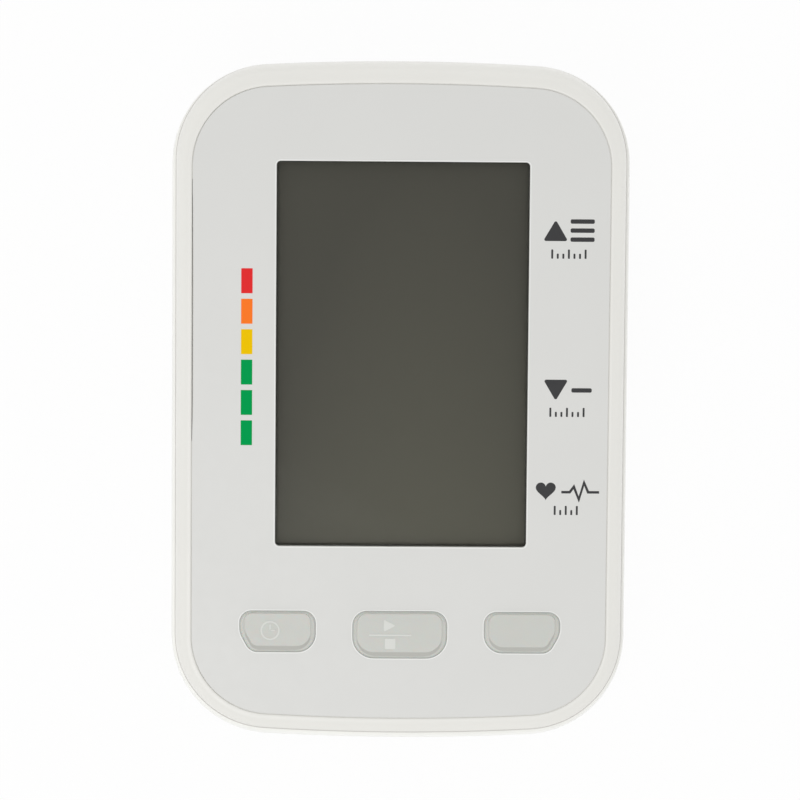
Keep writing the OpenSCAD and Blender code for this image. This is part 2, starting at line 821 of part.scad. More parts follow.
module key_cap(side) {
    color("lightgray") sloped() translate(key_at(side)) union() {
        loft([for (s = key_section) [for (p = key_outline(side, s[0])) [p.x, p.y, s[1]]]]);
        translate([0, 0, stem_w]) cylinder(d = plunger_d + 0.8, h = key_flange_w - stem_w - 0.2);
    }
}

module left_key() { key_cap(-1); }
module centre_key() { key_cap(0); }
module right_key() { key_cap(1); }

module pressure_sensor() {
    color("slategray") sloped() translate([sensor_at.x, sensor_at.y, board_w_low]) {
        block([-sensor_size.x/2, sensor_size.x/2], [-sensor_size.y/2, sensor_size.y/2], [-sensor_size.z, 0]);
        translate([0, 0, -sensor_size.z - nozzle_l]) difference() {
            cylinder(d = nozzle_d, h = nozzle_l);
            translate([0, 0, -cut]) cylinder(d = nozzle_d/3, h = nozzle_l);
        }
    }
}

buzzer_at = [-20, -10];
buzzer_d = 12;
buzzer_h = 4;
buzzer_hole_d = 2;
module buzzer() {
    color("black") sloped() translate([buzzer_at.x, buzzer_at.y, board_w_low - buzzer_h]) difference() {
        cylinder(d = buzzer_d, h = buzzer_h);
        translate([0, 0, -cut]) cylinder(d = buzzer_hole_d, h = buzzer_h/2 + cut);
    }
}

// ---------------------------------------------------------------- air line

module at_air_line() { translate([0, air_y, air_z]) children(); }

module pump_motor() {
    color("silver") at_air_line() {
        rod_x(head_x, motor_l, motor_d);
        rod_x(head_x + motor_l, 1.2, motor_d/2.5);
    }
}

module pump_head() {
    color("dimgray") at_air_line() difference() {
        union() {
            rod_x(head_x - head_l, head_l, pump_d);
            rod_x(head_x - head_l - nozzle_l, nozzle_l, nozzle_d);
        }
        rod_x(head_x - head_l - nozzle_l - cut, nozzle_l + cut, nozzle_d/3);
    }
}

module pump_foam() {
    color("gray") at_air_line()
        tube_x(head_x + 4, motor_l - 8, pump_d, motor_d + 2*foam_gap);
}

module air_manifold() {
    color("ivory") translate([manifold_x, air_y, air_z]) difference() {
        union() {
            cube(manifold_side, center = true);
            rod_x(-manifold_side/2 - nozzle_l, manifold_side + 2*nozzle_l, nozzle_d);
            rod_y(-manifold_side/2 - nozzle_l, manifold_side + 2*nozzle_l, nozzle_d);
            cylinder(d = nozzle_d, h = manifold_side/2 + nozzle_l);
        }
        rod_x(-manifold_side, 2*manifold_side, nozzle_d/3);
        rod_y(-manifold_side, 2*manifold_side, nozzle_d/3);
        cylinder(d = nozzle_d/3, h = 2*manifold_side);
    }
}

// Straight route between two points
function straight(a, b, steps) = [for (i = [0:steps]) mix(a, b, i/steps)];
module air_hoses() {
    inner = nozzle_d + 2*fit;
    near = manifold_side/2 + 0.2;
    sensor_w = board_w_low - sensor_size.z - 0.3;
    sensor_end = [manifold_x, back(sensor_at.y, sensor_w), high(sensor_at.y, sensor_w)];
    kink = [manifold_x, air_y, kink_z];
    color("lightcyan") {
        hose(straight([socket_end - nozzle_l + 0.3, air_y, air_z], [manifold_x - near, air_y, air_z], 2),
            hose_d, inner, [0, 0, 1]);
        hose(straight([manifold_x + near, air_y, air_z], [head_x - head_l - 0.2, air_y, air_z], 2),
            hose_d, inner, [0, 0, 1]);
        hose(straight([manifold_x, air_y + near, air_z], [manifold_x, valve_y - 0.2, air_z], 2),
            hose_d, inner, [0, 0, 1]);
        hose([[manifold_x, air_y, air_z + near], kink, sensor_end], hose_d, inner, [1, 0, 0]);
    }
}

module release_valve() {
    color("darkgray") translate([manifold_x, 0, air_z]) difference() {
        union() {
            block([-5, -5 + valve_size.x], [valve_y, valve_y + valve_size.y],
                [-valve_size.z/2, valve_size.z/2]);
            rod_y(valve_y - nozzle_l, nozzle_l, nozzle_d);
        }
        rod_y(valve_y - nozzle_l - cut, nozzle_l + cut, nozzle_d/3);
    }
}

module bleed_valve() {
    l = 9;
    color("black") translate([manifold_x, air_y - manifold_side/2 - 0.2 - l, air_z])
        rotate([-90, 0, 0]) difference() {
            cylinder(d = 7, h = l);
            translate([0, 0, l - nozzle_l]) cylinder(d = nozzle_d + 2*fit, h = nozzle_l + cut);
            translate([0, 0, -cut]) cylinder(d = 1, h = l);
        }
}

// Mouth and inner end of the air socket
socket_mouth = -body_w/2 - belly + 0.2;
socket_end = socket_mouth + socket_depth + 1.8 + nozzle_l;
module air_socket() {
    color("lightgray") at_air_line() difference() {
        union() {
            rod_x(socket_mouth, -hole_depth_x - socket_mouth + 0.5, collar_d);
            rod_x(-hole_depth_x + fit, socket_flange_t, socket_flange_d);
            rod_x(-hole_depth_x, socket_mouth + socket_depth + 1.8 + hole_depth_x, socket_d + 2.4);
            rod_x(socket_end - nozzle_l - 0.5, nozzle_l + 0.5, nozzle_d);
        }
        rod_x(socket_mouth - cut, socket_depth + cut, socket_d);
        rod_x(socket_mouth, body_w, nozzle_d/3);
    }
}

// ---------------------------------------------------------------- power inlet

module power_inlet() {
    color("black") translate([inlet_x, inlet_y, inlet_z]) difference() {
        block([-inlet_body.x, 0], [-inlet_body.y/2, inlet_body.y/2], [-inlet_body.z/2, inlet_body.z/2]);
        rod_x(-inlet_body.x + 3, inlet_body.x, 6);
        rod_x(-inlet_body.x - cut, 5, inlet_pin_d + fit);
    }
}

module inlet_pin() {
    color("silver") translate([inlet_x, inlet_y, inlet_z]) {
        rod_x(-inlet_body.x - 2, inlet_body.x + 1, inlet_pin_d);
    }
}

// ---------------------------------------------------------------- batteries

function cell_x(i) = (i - (cell_count - 1)/2)*cell_pitch;
// Cells lie head to tail. The spring of an even cell is at the front.
function spring_side(i) = i % 2 == 0 ? -1 : 1;

nub_l = 1.3;
nub_d = 5.4;
module battery_cells() {
    for (i = [0:cell_count - 1]) translate([cell_x(i), bay_y, cell_z]) rotate(spring_side(i) < 0 ? 0 : 180)
        translate([0, (spring_l - cell_l)/2, 0]) {
            color("gold") rod_y(0, cell_l - nub_l, cell_d);
            color("silver") rod_y(cell_l - nub_l, nub_l, nub_d);
        }
}

// Tapered coil that starts wide on its plate and ends narrow at the cell
function coil(l) =
    let (n = spring_turns*rings_per_turn)
    [for (i = [0:n]) let (r = mix(spring_r_wide, spring_r_tip, i/n), a = 360*i/rings_per_turn)
        [r*cos(a), mix(wire_d/2 + fit, l - wire_d/2 - fit, i/n), r*sin(a)]];

// Least distance between points of neighbouring turns, less the wire
function self_gap(path) = min([
    for (i = [0:len(path) - 1], j = [i + rings_per_turn/2:len(path) - 1])
        if (j < len(path)) norm(path[i] - path[j])
]) - wire_d;

module battery_springs() {
    echo(least_gap_of_a_spring_to_itself_mm = self_gap(coil(spring_l)));
    color("silver") for (i = [0:cell_count - 1])
        translate([cell_x(i), bay_y, cell_z]) rotate(spring_side(i) < 0 ? 0 : 180)
            translate([0, -bay_l/2 + plate_t, 0]) wire(coil(spring_l), wire_d, [0, 1, 0], wire_sides);
}

contact_half = 4.5;
contact_down = 4.8;
contact_up = 6.5;
module contact_plate(x0, x1, side) {
    y = side < 0 ? bay_front : bay_rear - plate_t;
    block([x0 - contact_half, x1 + contact_half], [y, y + plate_t],
        [cell_z - contact_down, cell_z + contact_up]);
}

module contact_plates() {
    color("silver") {
        contact_plate(cell_x(0), cell_x(0), -1);
        contact_plate(cell_x(1), cell_x(2), -1);
        contact_plate(cell_x(3), cell_x(3), -1);
        contact_plate(cell_x(0), cell_x(1), 1);
        contact_plate(cell_x(2), cell_x(3), 1);
    }
}

// The cover turns about the middle of its round front edge
hinge_y = cover_front + cover_t/2;
hinge_z = base_z + cover_t/2;
module battery_cover() {
    color("whitesmoke") {
        difference() {
            union() {
                block([-cover_w/2, cover_w/2], [hinge_y, cover_rear], [base_z, cover_top]);
                translate([0, hinge_y, hinge_z]) rod_x(-cover_w/2, cover_w, cover_t);
            }
            block([-latch_w/2 - 0.4, latch_w/2 + 0.4], [cover_rear - latch_t - 1.2, cover_rear + cut],
                [base_z - cut, cover_top + cut]);
            for (i = [0:5]) block([-9, 9], [cover_rear - 20 + 1.8*i, cover_rear - 19.2 + 1.8*i],
                [base_z - cut, base_z + 0.4]);
        }
        for (x = [-tab_x, tab_x]) cover_tab(x);
        for (y = [bay_front + 8, bay_y, bay_rear - 8])
            block([-bay_w/2 + 1, bay_w/2 - 1], [y - 0.6, y + 0.6], [cover_top, cover_top + cover_rib_h]);
    }
}

// Hook that runs up past the floor's edge and forward over it
module cover_tab(x) {
    block([x - tab_w/2, x + tab_w/2], [cover_front, cover_front + tab_leg],
        [hinge_z, floor_z + tab_gap + tab_t]);
    block([x - tab_w/2, x + tab_w/2], [cover_front - tab_out, cover_front + tab_leg],
        [floor_z + tab_gap, floor_z + tab_gap + tab_t]);
}

// Folded tongue: a leg on the cover, a bend at the top, and a leg with the nose and thumb pad
module cover_latch() {
    y = cover_rear - latch_t;
    inner_leg = y - latch_leg_gap - latch_t;
    bend_mid = y - latch_leg_gap/2;
    color("whitesmoke") {
        block([-latch_w/2, latch_w/2], [inner_leg, inner_leg + latch_t], [cover_top, base_z + latch_h - 2]);
        block([-latch_w/2, latch_w/2], [y, cover_rear], [base_z, base_z + latch_h - 2]);
        block([-latch_w/2, latch_w/2], [cover_rear - 0.2, cover_rear + latch_nose],
            [floor_z + 0.3, floor_z + 0.3 + latch_nose_h]);
        translate([-latch_w/2, bend_mid, base_z + latch_h - 2]) rotate([90, 0, 90]) difference() {
            cylinder(d = latch_leg_gap + 2*latch_t, h = latch_w);
            translate([0, 0, -cut]) cylinder(d = latch_leg_gap, h = latch_w + 2*cut);
            block([-5, 5], [-5, 0], [-cut, latch_w + cut]);
        }
    }
}

// ---------------------------------------------------------------- the nodes

upper_case();
lower_case();
face_panel();
display_window();
display_gasket();
lcd_glass();
light_guide();
lcd_holder();
contact_strips();
main_board();
board_parts();
board_screws();
key_switches();
left_key();
centre_key();
right_key();
left_plunger();
centre_plunger();
right_plunger();
pressure_sensor();
buzzer();
pump_motor();
pump_head();
pump_foam();
air_manifold();
air_hoses();
release_valve();
bleed_valve();
air_socket();
power_inlet();
inlet_pin();
battery_cells();
battery_springs();
contact_plates();
battery_cover();
cover_latch();
feet();
case_screws();
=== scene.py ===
"""Looks of a table-top blood pressure monitor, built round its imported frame.

Sizes are in millimetres, and only new_piece() turns them into Blender's metres. Most pieces are
drawn in the sloped frame of the face panel: u across, v up the slope, w out of the panel.
"""

import math

import bmesh
import bpy
from mathutils import Matrix, Vector


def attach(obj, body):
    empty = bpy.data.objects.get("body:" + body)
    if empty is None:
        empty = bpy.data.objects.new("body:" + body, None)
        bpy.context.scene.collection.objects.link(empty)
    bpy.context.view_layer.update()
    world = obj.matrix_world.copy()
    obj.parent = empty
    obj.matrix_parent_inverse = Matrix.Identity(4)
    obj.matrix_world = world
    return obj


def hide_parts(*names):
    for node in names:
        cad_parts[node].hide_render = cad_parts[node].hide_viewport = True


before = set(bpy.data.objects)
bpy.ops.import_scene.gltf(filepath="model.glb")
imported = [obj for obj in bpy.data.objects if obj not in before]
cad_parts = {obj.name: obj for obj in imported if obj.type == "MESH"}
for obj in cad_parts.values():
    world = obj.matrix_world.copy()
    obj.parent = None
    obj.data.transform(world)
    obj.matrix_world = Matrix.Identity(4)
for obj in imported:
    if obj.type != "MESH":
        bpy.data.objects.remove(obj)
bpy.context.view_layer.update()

# ------------------------------------------------------------------ sizes, in mm

# Housing
BODY_W = 97.8
BODY_L = 147.2
BODY_CORNER = 20.8
END_BOW = 520
TILT = math.radians(8)
MID_H = 41
BEZEL_H = 9
WALL = 2
BELLY = 1.15
FRONT_BELLY = 1.6
LIP_H = 1.4
FIT = 0.1

# Face panel
RIM_SIDE = 3.9
RIM_END = 4.7
PANEL_W = BODY_W - 2*RIM_SIDE
PANEL_L = BODY_L - 2*RIM_END
PANEL_CORNER = 17
PANEL_T = 1
PANEL_GAP = 0.1
PANEL_EDGE = 0.12

# Display
WINDOW_W = 54.5
WINDOW_L = 83.5
WINDOW_V = 10.5
WINDOW_CORNER = 0.9
FACE_U = 0.3

# Keys
KEY_PITCH = 26.6
SIDE_KEY_V = -50
SIDE_KEY_W = 16.5
SIDE_KEY_L = 9
MID_KEY_V = -50.6
MID_KEY_W = 20.5
MID_KEY_L = 10.3
KEY_GAP = 0.3
KEY_RISE = 0.6
KEY_FLANGE = 0.8
KEY_FLANGE_T = 1.3
KEY_SEAT = 0.3
CUT_ACROSS = 2.3
CUT_UP = 4.2
# Corner radii from the lower left corner round, of the middle key and of the left key
MID_KEY_RADII = [4.6, 4.6, 3.1, 3.1]
SIDE_KEY_RADII = [2.8, 4, 2.7, 2.6, 5]
# Share in which the two ends of the cut corner follow the insets of the left and the lower side
CUT_FOLLOW = (0.6, 0.3)
KEY_NAMES = {-1: "left", 0: "centre", 1: "right"}

# Steps of the outlines: along a housing corner, a housing side, half a bowed end, a small corner
# and the rounded edge of a plate
CORNER_STEPS = 28
SIDE_STEPS = 36
BOW_STEPS = 8
SMALL_STEPS = 10
EDGE_STEPS = 4
# Least radius of a rounded corner
LEAST_RADIUS = 0.05
# Points of a mesh that lie closer than this are one, and edges that bend by more than this, in
# degrees, stay sharp
WELD = 1e-4
SHARP_ANGLE = 35

SLOPE_Y = FRONT_BELLY/2 - BEZEL_H*math.sin(TILT)
SLOPE = Matrix.Translation((0, SLOPE_Y, MID_H)) @ Matrix.Rotation(TILT, 4, "X")
CEILING_W = -PANEL_T - WALL


def mix(a, b, t):
    return a + (b - a)*t


def steps(start, end, count):
    """count + 1 values from start to end."""
    return [mix(start, end, i/count) for i in range(count + 1)]


# ------------------------------------------------------------------ outlines, in mm

def quarter(hw, hl, r, bow):
    """A quarter of the housing's outline: a round corner, then half of the bowed end."""
    meet = math.acos((hw - r)/(bow - r))
    corner_v = hl - bow + math.sqrt((bow - r)**2 - (hw - r)**2)
    corner = [
        (hw - r + r*math.cos(q), corner_v + r*math.sin(q)) for q in steps(0, meet, CORNER_STEPS)
    ]
    end = [
        (bow*math.cos(q), hl - bow + bow*math.sin(q)) for q in steps(meet, math.pi/2, BOW_STEPS)
    ]
    return corner + end[1:]


def housing_outline(hw, hl, r, bow):
    right = quarter(hw, hl, r, bow)
    corner_v = right[0][1]
    half = right + [(-u, v) for u, v in reversed(right[:-1])]
    half += [(-hw, v) for v in steps(corner_v, -corner_v, SIDE_STEPS)[1:-1]]
    return half + [(-u, -v) for u, v in half]


def shell_outline(share, inset):
    """The parting outline at share 1, the panel's recess at share 0, moved in by inset."""
    return housing_outline(
        mix(PANEL_W/2 + PANEL_GAP, BODY_W/2, share) - inset,
        mix(PANEL_L/2 + PANEL_GAP, BODY_L/2, share) - inset,
        mix(PANEL_CORNER + PANEL_GAP, BODY_CORNER, share) - inset,
        END_BOW - inset,
    )


# The stretch of the panel's left side that stands off the bezel, and how far it does so at most
STANDOFF_FROM = 45.5
STANDOFF_TO = -6.5
STANDOFF = 0.17


def stands_off(u, v):
    """How far the panel's edge stands off the bezel at a place: soon after the stretch's start, and
    then more and more, up to its end."""
    t = (STANDOFF_FROM - v)/(STANDOFF_FROM - STANDOFF_TO)
    return max(0, min(4*t, 0.06 + 0.3*t, STANDOFF, 2*(1 - t))) if u < 0 else 0


def panel_outline(grow):
    outline = housing_outline(
        PANEL_W/2 + grow, PANEL_L/2 + grow, PANEL_CORNER + grow, END_BOW + grow)
    return [(u + stands_off(u, v), v) for u, v in outline]


def rounded(points, radii, grow=0.0):
    """A polygon with its own radius at each corner, moved out by grow."""
    points = [Vector(p) for p in points]
    count = len(points)

    def outward(p, q):
        d = (q - p).normalized()
        return Vector((d.y, -d.x))

    grown = []
    for i, q in enumerate(points):
        n = outward(points[i - 1], q)
        m = outward(q, points[(i + 1) % count])
        grown.append(q + (n + m)*grow/(1 + n.dot(m)))
    outline = []
    for i, q in enumerate(grown):
        a = (grown[i - 1] - q).normalized()
        b = (grown[(i + 1) % count] - q).normalized()
        half = math.acos(a.dot(b))/2
        radius = max(LEAST_RADIUS, radii[i] + grow)
        centre = q + (a + b).normalized()*radius/math.sin(half)
        start = q + a*radius/math.tan(half) - centre
        begin = math.atan2(start.y, start.x)
        for turn in steps(0, math.pi - 2*half, SMALL_STEPS):
            angle = begin + turn
            outline.append((centre.x + radius*math.cos(angle), centre.y + radius*math.sin(angle)))
    return outline


def box_outline(w, l, r, grow=0.0):
    return rounded([(-w/2, -l/2), (w/2, -l/2), (w/2, l/2), (-w/2, l/2)], [r]*4, grow)


def key_outline(side, grow, inset=(0, 0, 0, 0)):
    """Outline of a key about its own middle. The outer keys have their outer lower corner cut off.
    inset moves its left, right, lower and upper side in."""
    left, right, low, up = inset
    if side > 0:
        left, right = right, left
    if side == 0:
        w, l, across, radii = MID_KEY_W/2, MID_KEY_L/2, 0, MID_KEY_RADII
    else:
        w, l, across, radii = SIDE_KEY_W/2, SIDE_KEY_L/2, CUT_ACROSS, SIDE_KEY_RADII
    corners = [(-w + across + left*CUT_FOLLOW[0], -l + low), (w - right, -l + low),
               (w - right, l - up), (-w + left, l - up)]
    if side != 0:
        corners.append((-w + left, -l + CUT_UP + low*CUT_FOLLOW[1]))
    outline = rounded(corners, [r - min(left, low) for r in radii], grow)
    return outline if side <= 0 else [(-u, v) for u, v in reversed(outline)]


def key_middle(side):
    return FACE_U + side*KEY_PITCH, MID_KEY_V if side == 0 else SIDE_KEY_V


def moved(outline, u, v):
    return [(p[0] + u, p[1] + v) for p in outline]


def circle(u, v, r, count=40):
    return [(u + r*math.cos(q), v + r*math.sin(q)) for q in steps(0, math.tau, count)[:-1]]


# ------------------------------------------------------------------ mesh helpers

def new_piece(name, bm, material, body="housing", place=SLOPE, second=None):
    """Turns a bmesh in mm into a shaded piece that rides on a body. second is the material of its
    faces with material_index 1."""
    bmesh.ops.remove_doubles(bm, verts=bm.verts, dist=WELD)
    bmesh.ops.recalc_face_normals(bm, faces=bm.faces)
    bmesh.ops.transform(bm, matrix=Matrix.Scale(0.001, 4) @ place, verts=bm.verts)
    mesh = bpy.data.meshes.new(name)
    bm.to_mesh(mesh)
    bm.free()
    mesh.polygons.foreach_set("use_smooth", [True]*len(mesh.polygons))
    mesh.set_sharp_from_angle(angle=math.radians(SHARP_ANGLE))
    mesh.materials.append(material)
    if second:
        mesh.materials.append(second)
    piece = bpy.data.objects.new(name, mesh)
    bpy.context.scene.collection.objects.link(piece)
    even = piece.modifiers.new("even_normals", "WEIGHTED_NORMAL")
    even.keep_sharp = True
    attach(piece, body)
    return piece


def add_ring(bm, outline, w):
    return [bm.verts.new((p[0], p[1], w)) for p in outline]


def join_rings(bm, rings, around=False):
    """Quads between rings that follow each other, and from the last to the first with around."""
    pairs = list(zip(rings, rings[1:]))
    if around:
        pairs.append((rings[-1], rings[0]))
    for low, high in pairs:
        count = len(low)
        for i in range(count):
            j = (i + 1) % count
            bm.faces.new((low[i], low[j], high[j], high[i]))


def ring_edges(bm, ring):
    return [bm.edges.get((ring[i], ring[(i + 1) % len(ring)])) for i in range(len(ring))]


def fill_between(bm, rings):
    """Flat face inside the first ring and outside the others."""
    edges = [e for ring in rings for e in ring_edges(bm, ring)]
    bmesh.ops.triangle_fill(bm, use_beauty=True, use_dissolve=False, edges=edges)


def plate(name, outer, holes, low, high, edge, material):
    """Flat plate with rounded upper edges. outer and holes are functions of how far they grow."""
    bm = bmesh.new()
    section = [(0, low)] + [
        (edge*(1 - math.cos(q)), high - edge*(1 - math.sin(q)))
        for q in steps(0, math.pi/2, EDGE_STEPS)
    ]
    walls = []
    for outline, sign in [(outer, -1)] + [(hole, 1) for hole in holes]:
        rings = [add_ring(bm, outline(sign*inset), w) for inset, w in section]
        join_rings(bm, rings)
        walls.append(rings)
    fill_between(bm, [rings[-1] for rings in walls])
    fill_between(bm, [rings[0] for rings in walls])
    return new_piece(name, bm, material)


# ------------------------------------------------------------------ materials

def srgb(red, green, blue):
    """A colour as it shows on a screen, 0 to 255, turned into the shader's own scale."""
    def linear(c):
        c /= 255
        return c/12.92 if c <= 0.04045 else ((c + 0.055)/1.055)**2.4
    return (linear(red), linear(green), linear(blue), 1)


def scaled(color, factor):
    return tuple(c*factor for c in color[:3]) + (1,)


def new_material(name):
    material = bpy.data.materials.new(name)
    material.use_nodes = True
    return material, material.node_tree.nodes, material.node_tree.links


def noise(nodes, links, scale, detail=3):
    """A noise over the object's own place, with features of 1/scale metres."""
    place = nodes.new("ShaderNodeTexCoord")
    texture = nodes.new("ShaderNodeTexNoise")
    texture.inputs["Scale"].default_value = scale
    texture.inputs["Detail"].default_value = detail
    links.new(place.outputs["Object"], texture.inputs["Vector"])
    return texture.outputs["Fac"]


def spread(nodes, links, value, low, high):
    """Maps a noise's usual range to low..high."""
    node = nodes.new("ShaderNodeMapRange")
    node.inputs["From Min"].default_value = 0.3
    node.inputs["From Max"].default_value = 0.7
    node.inputs["To Min"].default_value = low
    node.inputs["To Max"].default_value = high
    links.new(value, node.inputs["Value"])
    return node.outputs["Result"]


def surface(name, color, roughness, drift=0.02, drift_scale=60, rough_drift=0.05, grain=2500,
            grain_depth=0.004, **sockets):
    """A moulded or plain surface: slow colour drift, uneven gloss and a fine grain in the relief.
    grain_depth is in mm, and sockets are values of the shader by their names."""
    material, nodes, links = new_material(name)
    shader = nodes["Principled BSDF"]
    blend = nodes.new("ShaderNodeMix")
    blend.data_type = "RGBA"
    blend.inputs["A"].default_value = scaled(color, 1 - drift)
    blend.inputs["B"].default_value = scaled(color, 1 + drift)
    links.new(spread(nodes, links, noise(nodes, links, drift_scale), 0, 1), blend.inputs["Factor"])
    links.new(blend.outputs["Result"], shader.inputs["Base Color"])
    gloss = spread(nodes, links, noise(nodes, links, drift_scale*7), roughness - rough_drift,
                   roughness + rough_drift)
    links.new(gloss, shader.inputs["Roughness"])
    relief = nodes.new("ShaderNodeBump")
    relief.inputs["Strength"].default_value = 1
    relief.inputs["Distance"].default_value = grain_depth*0.001
    links.new(noise(nodes, links, grain, detail=2), relief.inputs["Height"])
    links.new(relief.outputs["Normal"], shader.inputs["Normal"])
    for socket, value in sockets.items():
        shader.inputs[socket.replace("_", " ")].default_value = value
    return material


# Key's colour, and the painted shade of its slope where it faces the front
KEY_COLOR = srgb(199, 200, 194)
KEY_SHADE = srgb(180, 180, 174)
# Display's colour at its far and near end, how far its sides go towards the far end's colour, and
# where it is brightest across, all of it painted light and shade
LCD_FAR = srgb(81, 80, 75)
LCD_NEAR = srgb(97, 96, 88)
LCD_SIDE_SHADE = 0.45
LCD_LIT_U = 6

CASE = surface("case_plastic", srgb(230, 229, 224), 0.36, drift=0.006, grain_depth=0.002)
# Painted light: the lower case is the bezel's plastic made paler, since its sides catch more of the
# room's light
CASE_LOWER_LIT = surface("case_lower_lit_plastic", srgb(245, 245, 241), 0.36, drift=0.006,
                     grain_depth=0.002)
PANEL = surface("panel_plastic", srgb(216, 216, 213), 0.42, drift=0.006, grain=4000,
                grain_depth=0.001)
KEY = surface("key_plastic", KEY_COLOR, 0.4, drift=0.01, grain_depth=0.002,
              Subsurface_Weight=0.15, Subsurface_Scale=0.001)
GASKET = surface("gasket_rubber", srgb(58, 58, 54), 0.7)
DARK = surface("dark_plastic", srgb(32, 32, 33), 0.5)
STEEL = surface("plated_steel", srgb(190, 190, 188), 0.32, drift=0.04, Metallic=1.0)
MILKY = surface("milky_plastic", srgb(224, 224, 220), 0.45)
RUBBER = surface("foot_rubber", srgb(92, 92, 92), 0.75, drift=0.05, grain_depth=0.01)
BOARD = surface("board_resist", srgb(28, 96, 52), 0.35, drift=0.08, drift_scale=300)
CELL_WRAP = surface("cell_wrap", srgb(96, 112, 124), 0.3, drift=0.01, rough_drift=0.02)
CELL_BAND = surface("cell_band", srgb(206, 208, 208), 0.3, drift=0.01, rough_drift=0.02)
EMBOSSED = surface("key_emboss", srgb(212, 213, 208), 0.35, drift=0.01, grain_depth=0.001)
# Painted highlight: a paler strip round the panel's holes where their edges catch light
HAIRLINE_HIGHLIGHT = surface("panel_edge_highlight", srgb(236, 237, 234), 0.4, drift=0.005, grain_depth=0.0005)
# Painted shade: a darker strip at the parting joint, standing for the contact shadow under the
# bezel
SEAM_SHADE = surface("case_seam_shade", srgb(211, 209, 205), 0.6, drift=0.02, grain_depth=0.001)
PRINT_BLACK = surface("print_black", srgb(36, 36, 38), 0.5, grain=6000, grain_depth=0.001)


def up_slope(nodes, links, start, end):
    """0 to 1 from start to end along v of the panel."""
    place = nodes.new("ShaderNodeTexCoord")
    way = nodes.new("ShaderNodeVectorMath")
    way.operation = "DOT_PRODUCT"
    way.inputs[1].default_value = SLOPE.col[1].to_3d()
    links.new(place.outputs["Object"], way.inputs[0])
    origin = SLOPE.translation.dot(SLOPE.col[1].to_3d())
    share = nodes.new("ShaderNodeMapRange")
    share.inputs["From Min"].default_value = 0.001*(origin + start)
    share.inputs["From Max"].default_value = 0.001*(origin + end)
    links.new(way.outputs["Value"], share.inputs["Value"])
    return share.outputs["Result"]


def blended(nodes, links, factor, first, second):
    """From the first colour to the second, each of them a colour or a socket."""
    blend = nodes.new("ShaderNodeMix")
    blend.data_type = "RGBA"
    links.new(factor, blend.inputs["Factor"])
    for socket, color in (("A", first), ("B", second)):
        if isinstance(color, tuple):
            blend.inputs[socket].default_value = color
        else:
            links.new(color, blend.inputs[socket])
    return blend.outputs["Result"]


def facing(nodes, links, way, start, end):
    """0 to 1 as the surface turns to a way: start and end are cosines."""
    face = nodes.new("ShaderNodeNewGeometry")
    cosine = nodes.new("ShaderNodeVectorMath")
    cosine.operation = "DOT_PRODUCT"
    cosine.inputs[1].default_value = way
    links.new(face.outputs["Normal"], cosine.inputs[0])
    share = nodes.new("ShaderNodeMapRange")
    share.inputs["From Min"].default_value = start
    share.inputs["From Max"].default_value = end
    links.new(cosine.outputs["Value"], share.inputs["Value"])
    return share.outputs["Result"]


def slope_material():
    """The keys' plastic with painted shade: darker where a slope faces the front."""
    material = surface("key_slope_painted_shade", KEY_COLOR, 0.45, drift=0.0, grain_depth=0.002)
    nodes, links = material.node_tree.nodes, material.node_tree.links
    # Painted shade: the slope that faces the front takes the darker colour
    front = facing(nodes, links, -SLOPE.col[1].to_3d(), 0.1, 0.35)
    color = blended(nodes, links, front, KEY_COLOR, KEY_SHADE)
    links.new(color, nodes["Principled BSDF"].inputs["Base Color"])
    return material


def window_material():
    """Clear hard-coated plastic: it shows what is behind it and mirrors the room at low angles."""
    material, nodes, links = new_material("window_clear")
    shader = nodes["Principled BSDF"]
    shader.inputs["Base Color"].default_value = (0, 0, 0, 1)
    shader.inputs["Roughness"].default_value = 0.05
    clear = nodes.new("ShaderNodeBsdfTransparent")
    clear.inputs["Color"].default_value = srgb(250, 250, 248)
    rim = nodes.new("ShaderNodeFresnel")
    rim.inputs["IOR"].default_value = 1.49
    face = nodes.new("ShaderNodeNewGeometry")
    mirror = nodes.new("ShaderNodeMath")
    mirror.operation = "MULTIPLY_ADD"
    mirror.inputs[1].default_value = -1
    links.new(face.outputs["Backfacing"], mirror.inputs[0])
    links.new(rim.outputs["Fac"], mirror.inputs[2])
    mirror.use_clamp = True
    blend = nodes.new("ShaderNodeMixShader")
    links.new(mirror.outputs["Value"], blend.inputs["Fac"])
    links.new(clear.outputs["BSDF"], blend.inputs[1])
    links.new(shader.outputs["BSDF"], blend.inputs[2])
    links.new(blend.outputs["Shader"], nodes["Material Output"].inputs["Surface"])
    return material


def lcd_material():
    """A display that is off: grey-green, with painted shade that makes it darker towards its far
    end and its two sides.
    """
    material = surface("lcd_glass", LCD_FAR, 0.35, drift=0.0, grain_depth=0.0005,
                       Specular_IOR_Level=0.2)
    nodes, links = material.node_tree.nodes, material.node_tree.links
    place = nodes.new("ShaderNodeTexCoord")
    split = nodes.new("ShaderNodeSeparateXYZ")
    links.new(place.outputs["Object"], split.inputs["Vector"])
    off = nodes.new("ShaderNodeMath")
    off.operation = "SUBTRACT"
    off.inputs[1].default_value = 0.001*LCD_LIT_U
    links.new(split.outputs["X"], off.inputs[0])
    side = nodes.new("ShaderNodeMath")
    side.operation = "POWER"
    side.inputs[1].default_value = 2
    links.new(off.outputs["Value"], side.inputs[0])
    # Painted shade that darkens the display towards its sides and its far end
    painted_shade = nodes.new("ShaderNodeMath")
    painted_shade.operation = "MULTIPLY_ADD"
    painted_shade.inputs[1].default_value = -LCD_SIDE_SHADE/(0.0005*WINDOW_W)**2
    links.new(side.outputs["Value"], painted_shade.inputs[0])
    near = up_slope(nodes, links, WINDOW_V + WINDOW_L/2, WINDOW_V - WINDOW_L/2)
    links.new(near, painted_shade.inputs[2])
    color = blended(nodes, links, painted_shade.outputs["Value"], LCD_FAR, LCD_NEAR)
    links.new(color, nodes["Principled BSDF"].inputs["Base Color"])
    return material


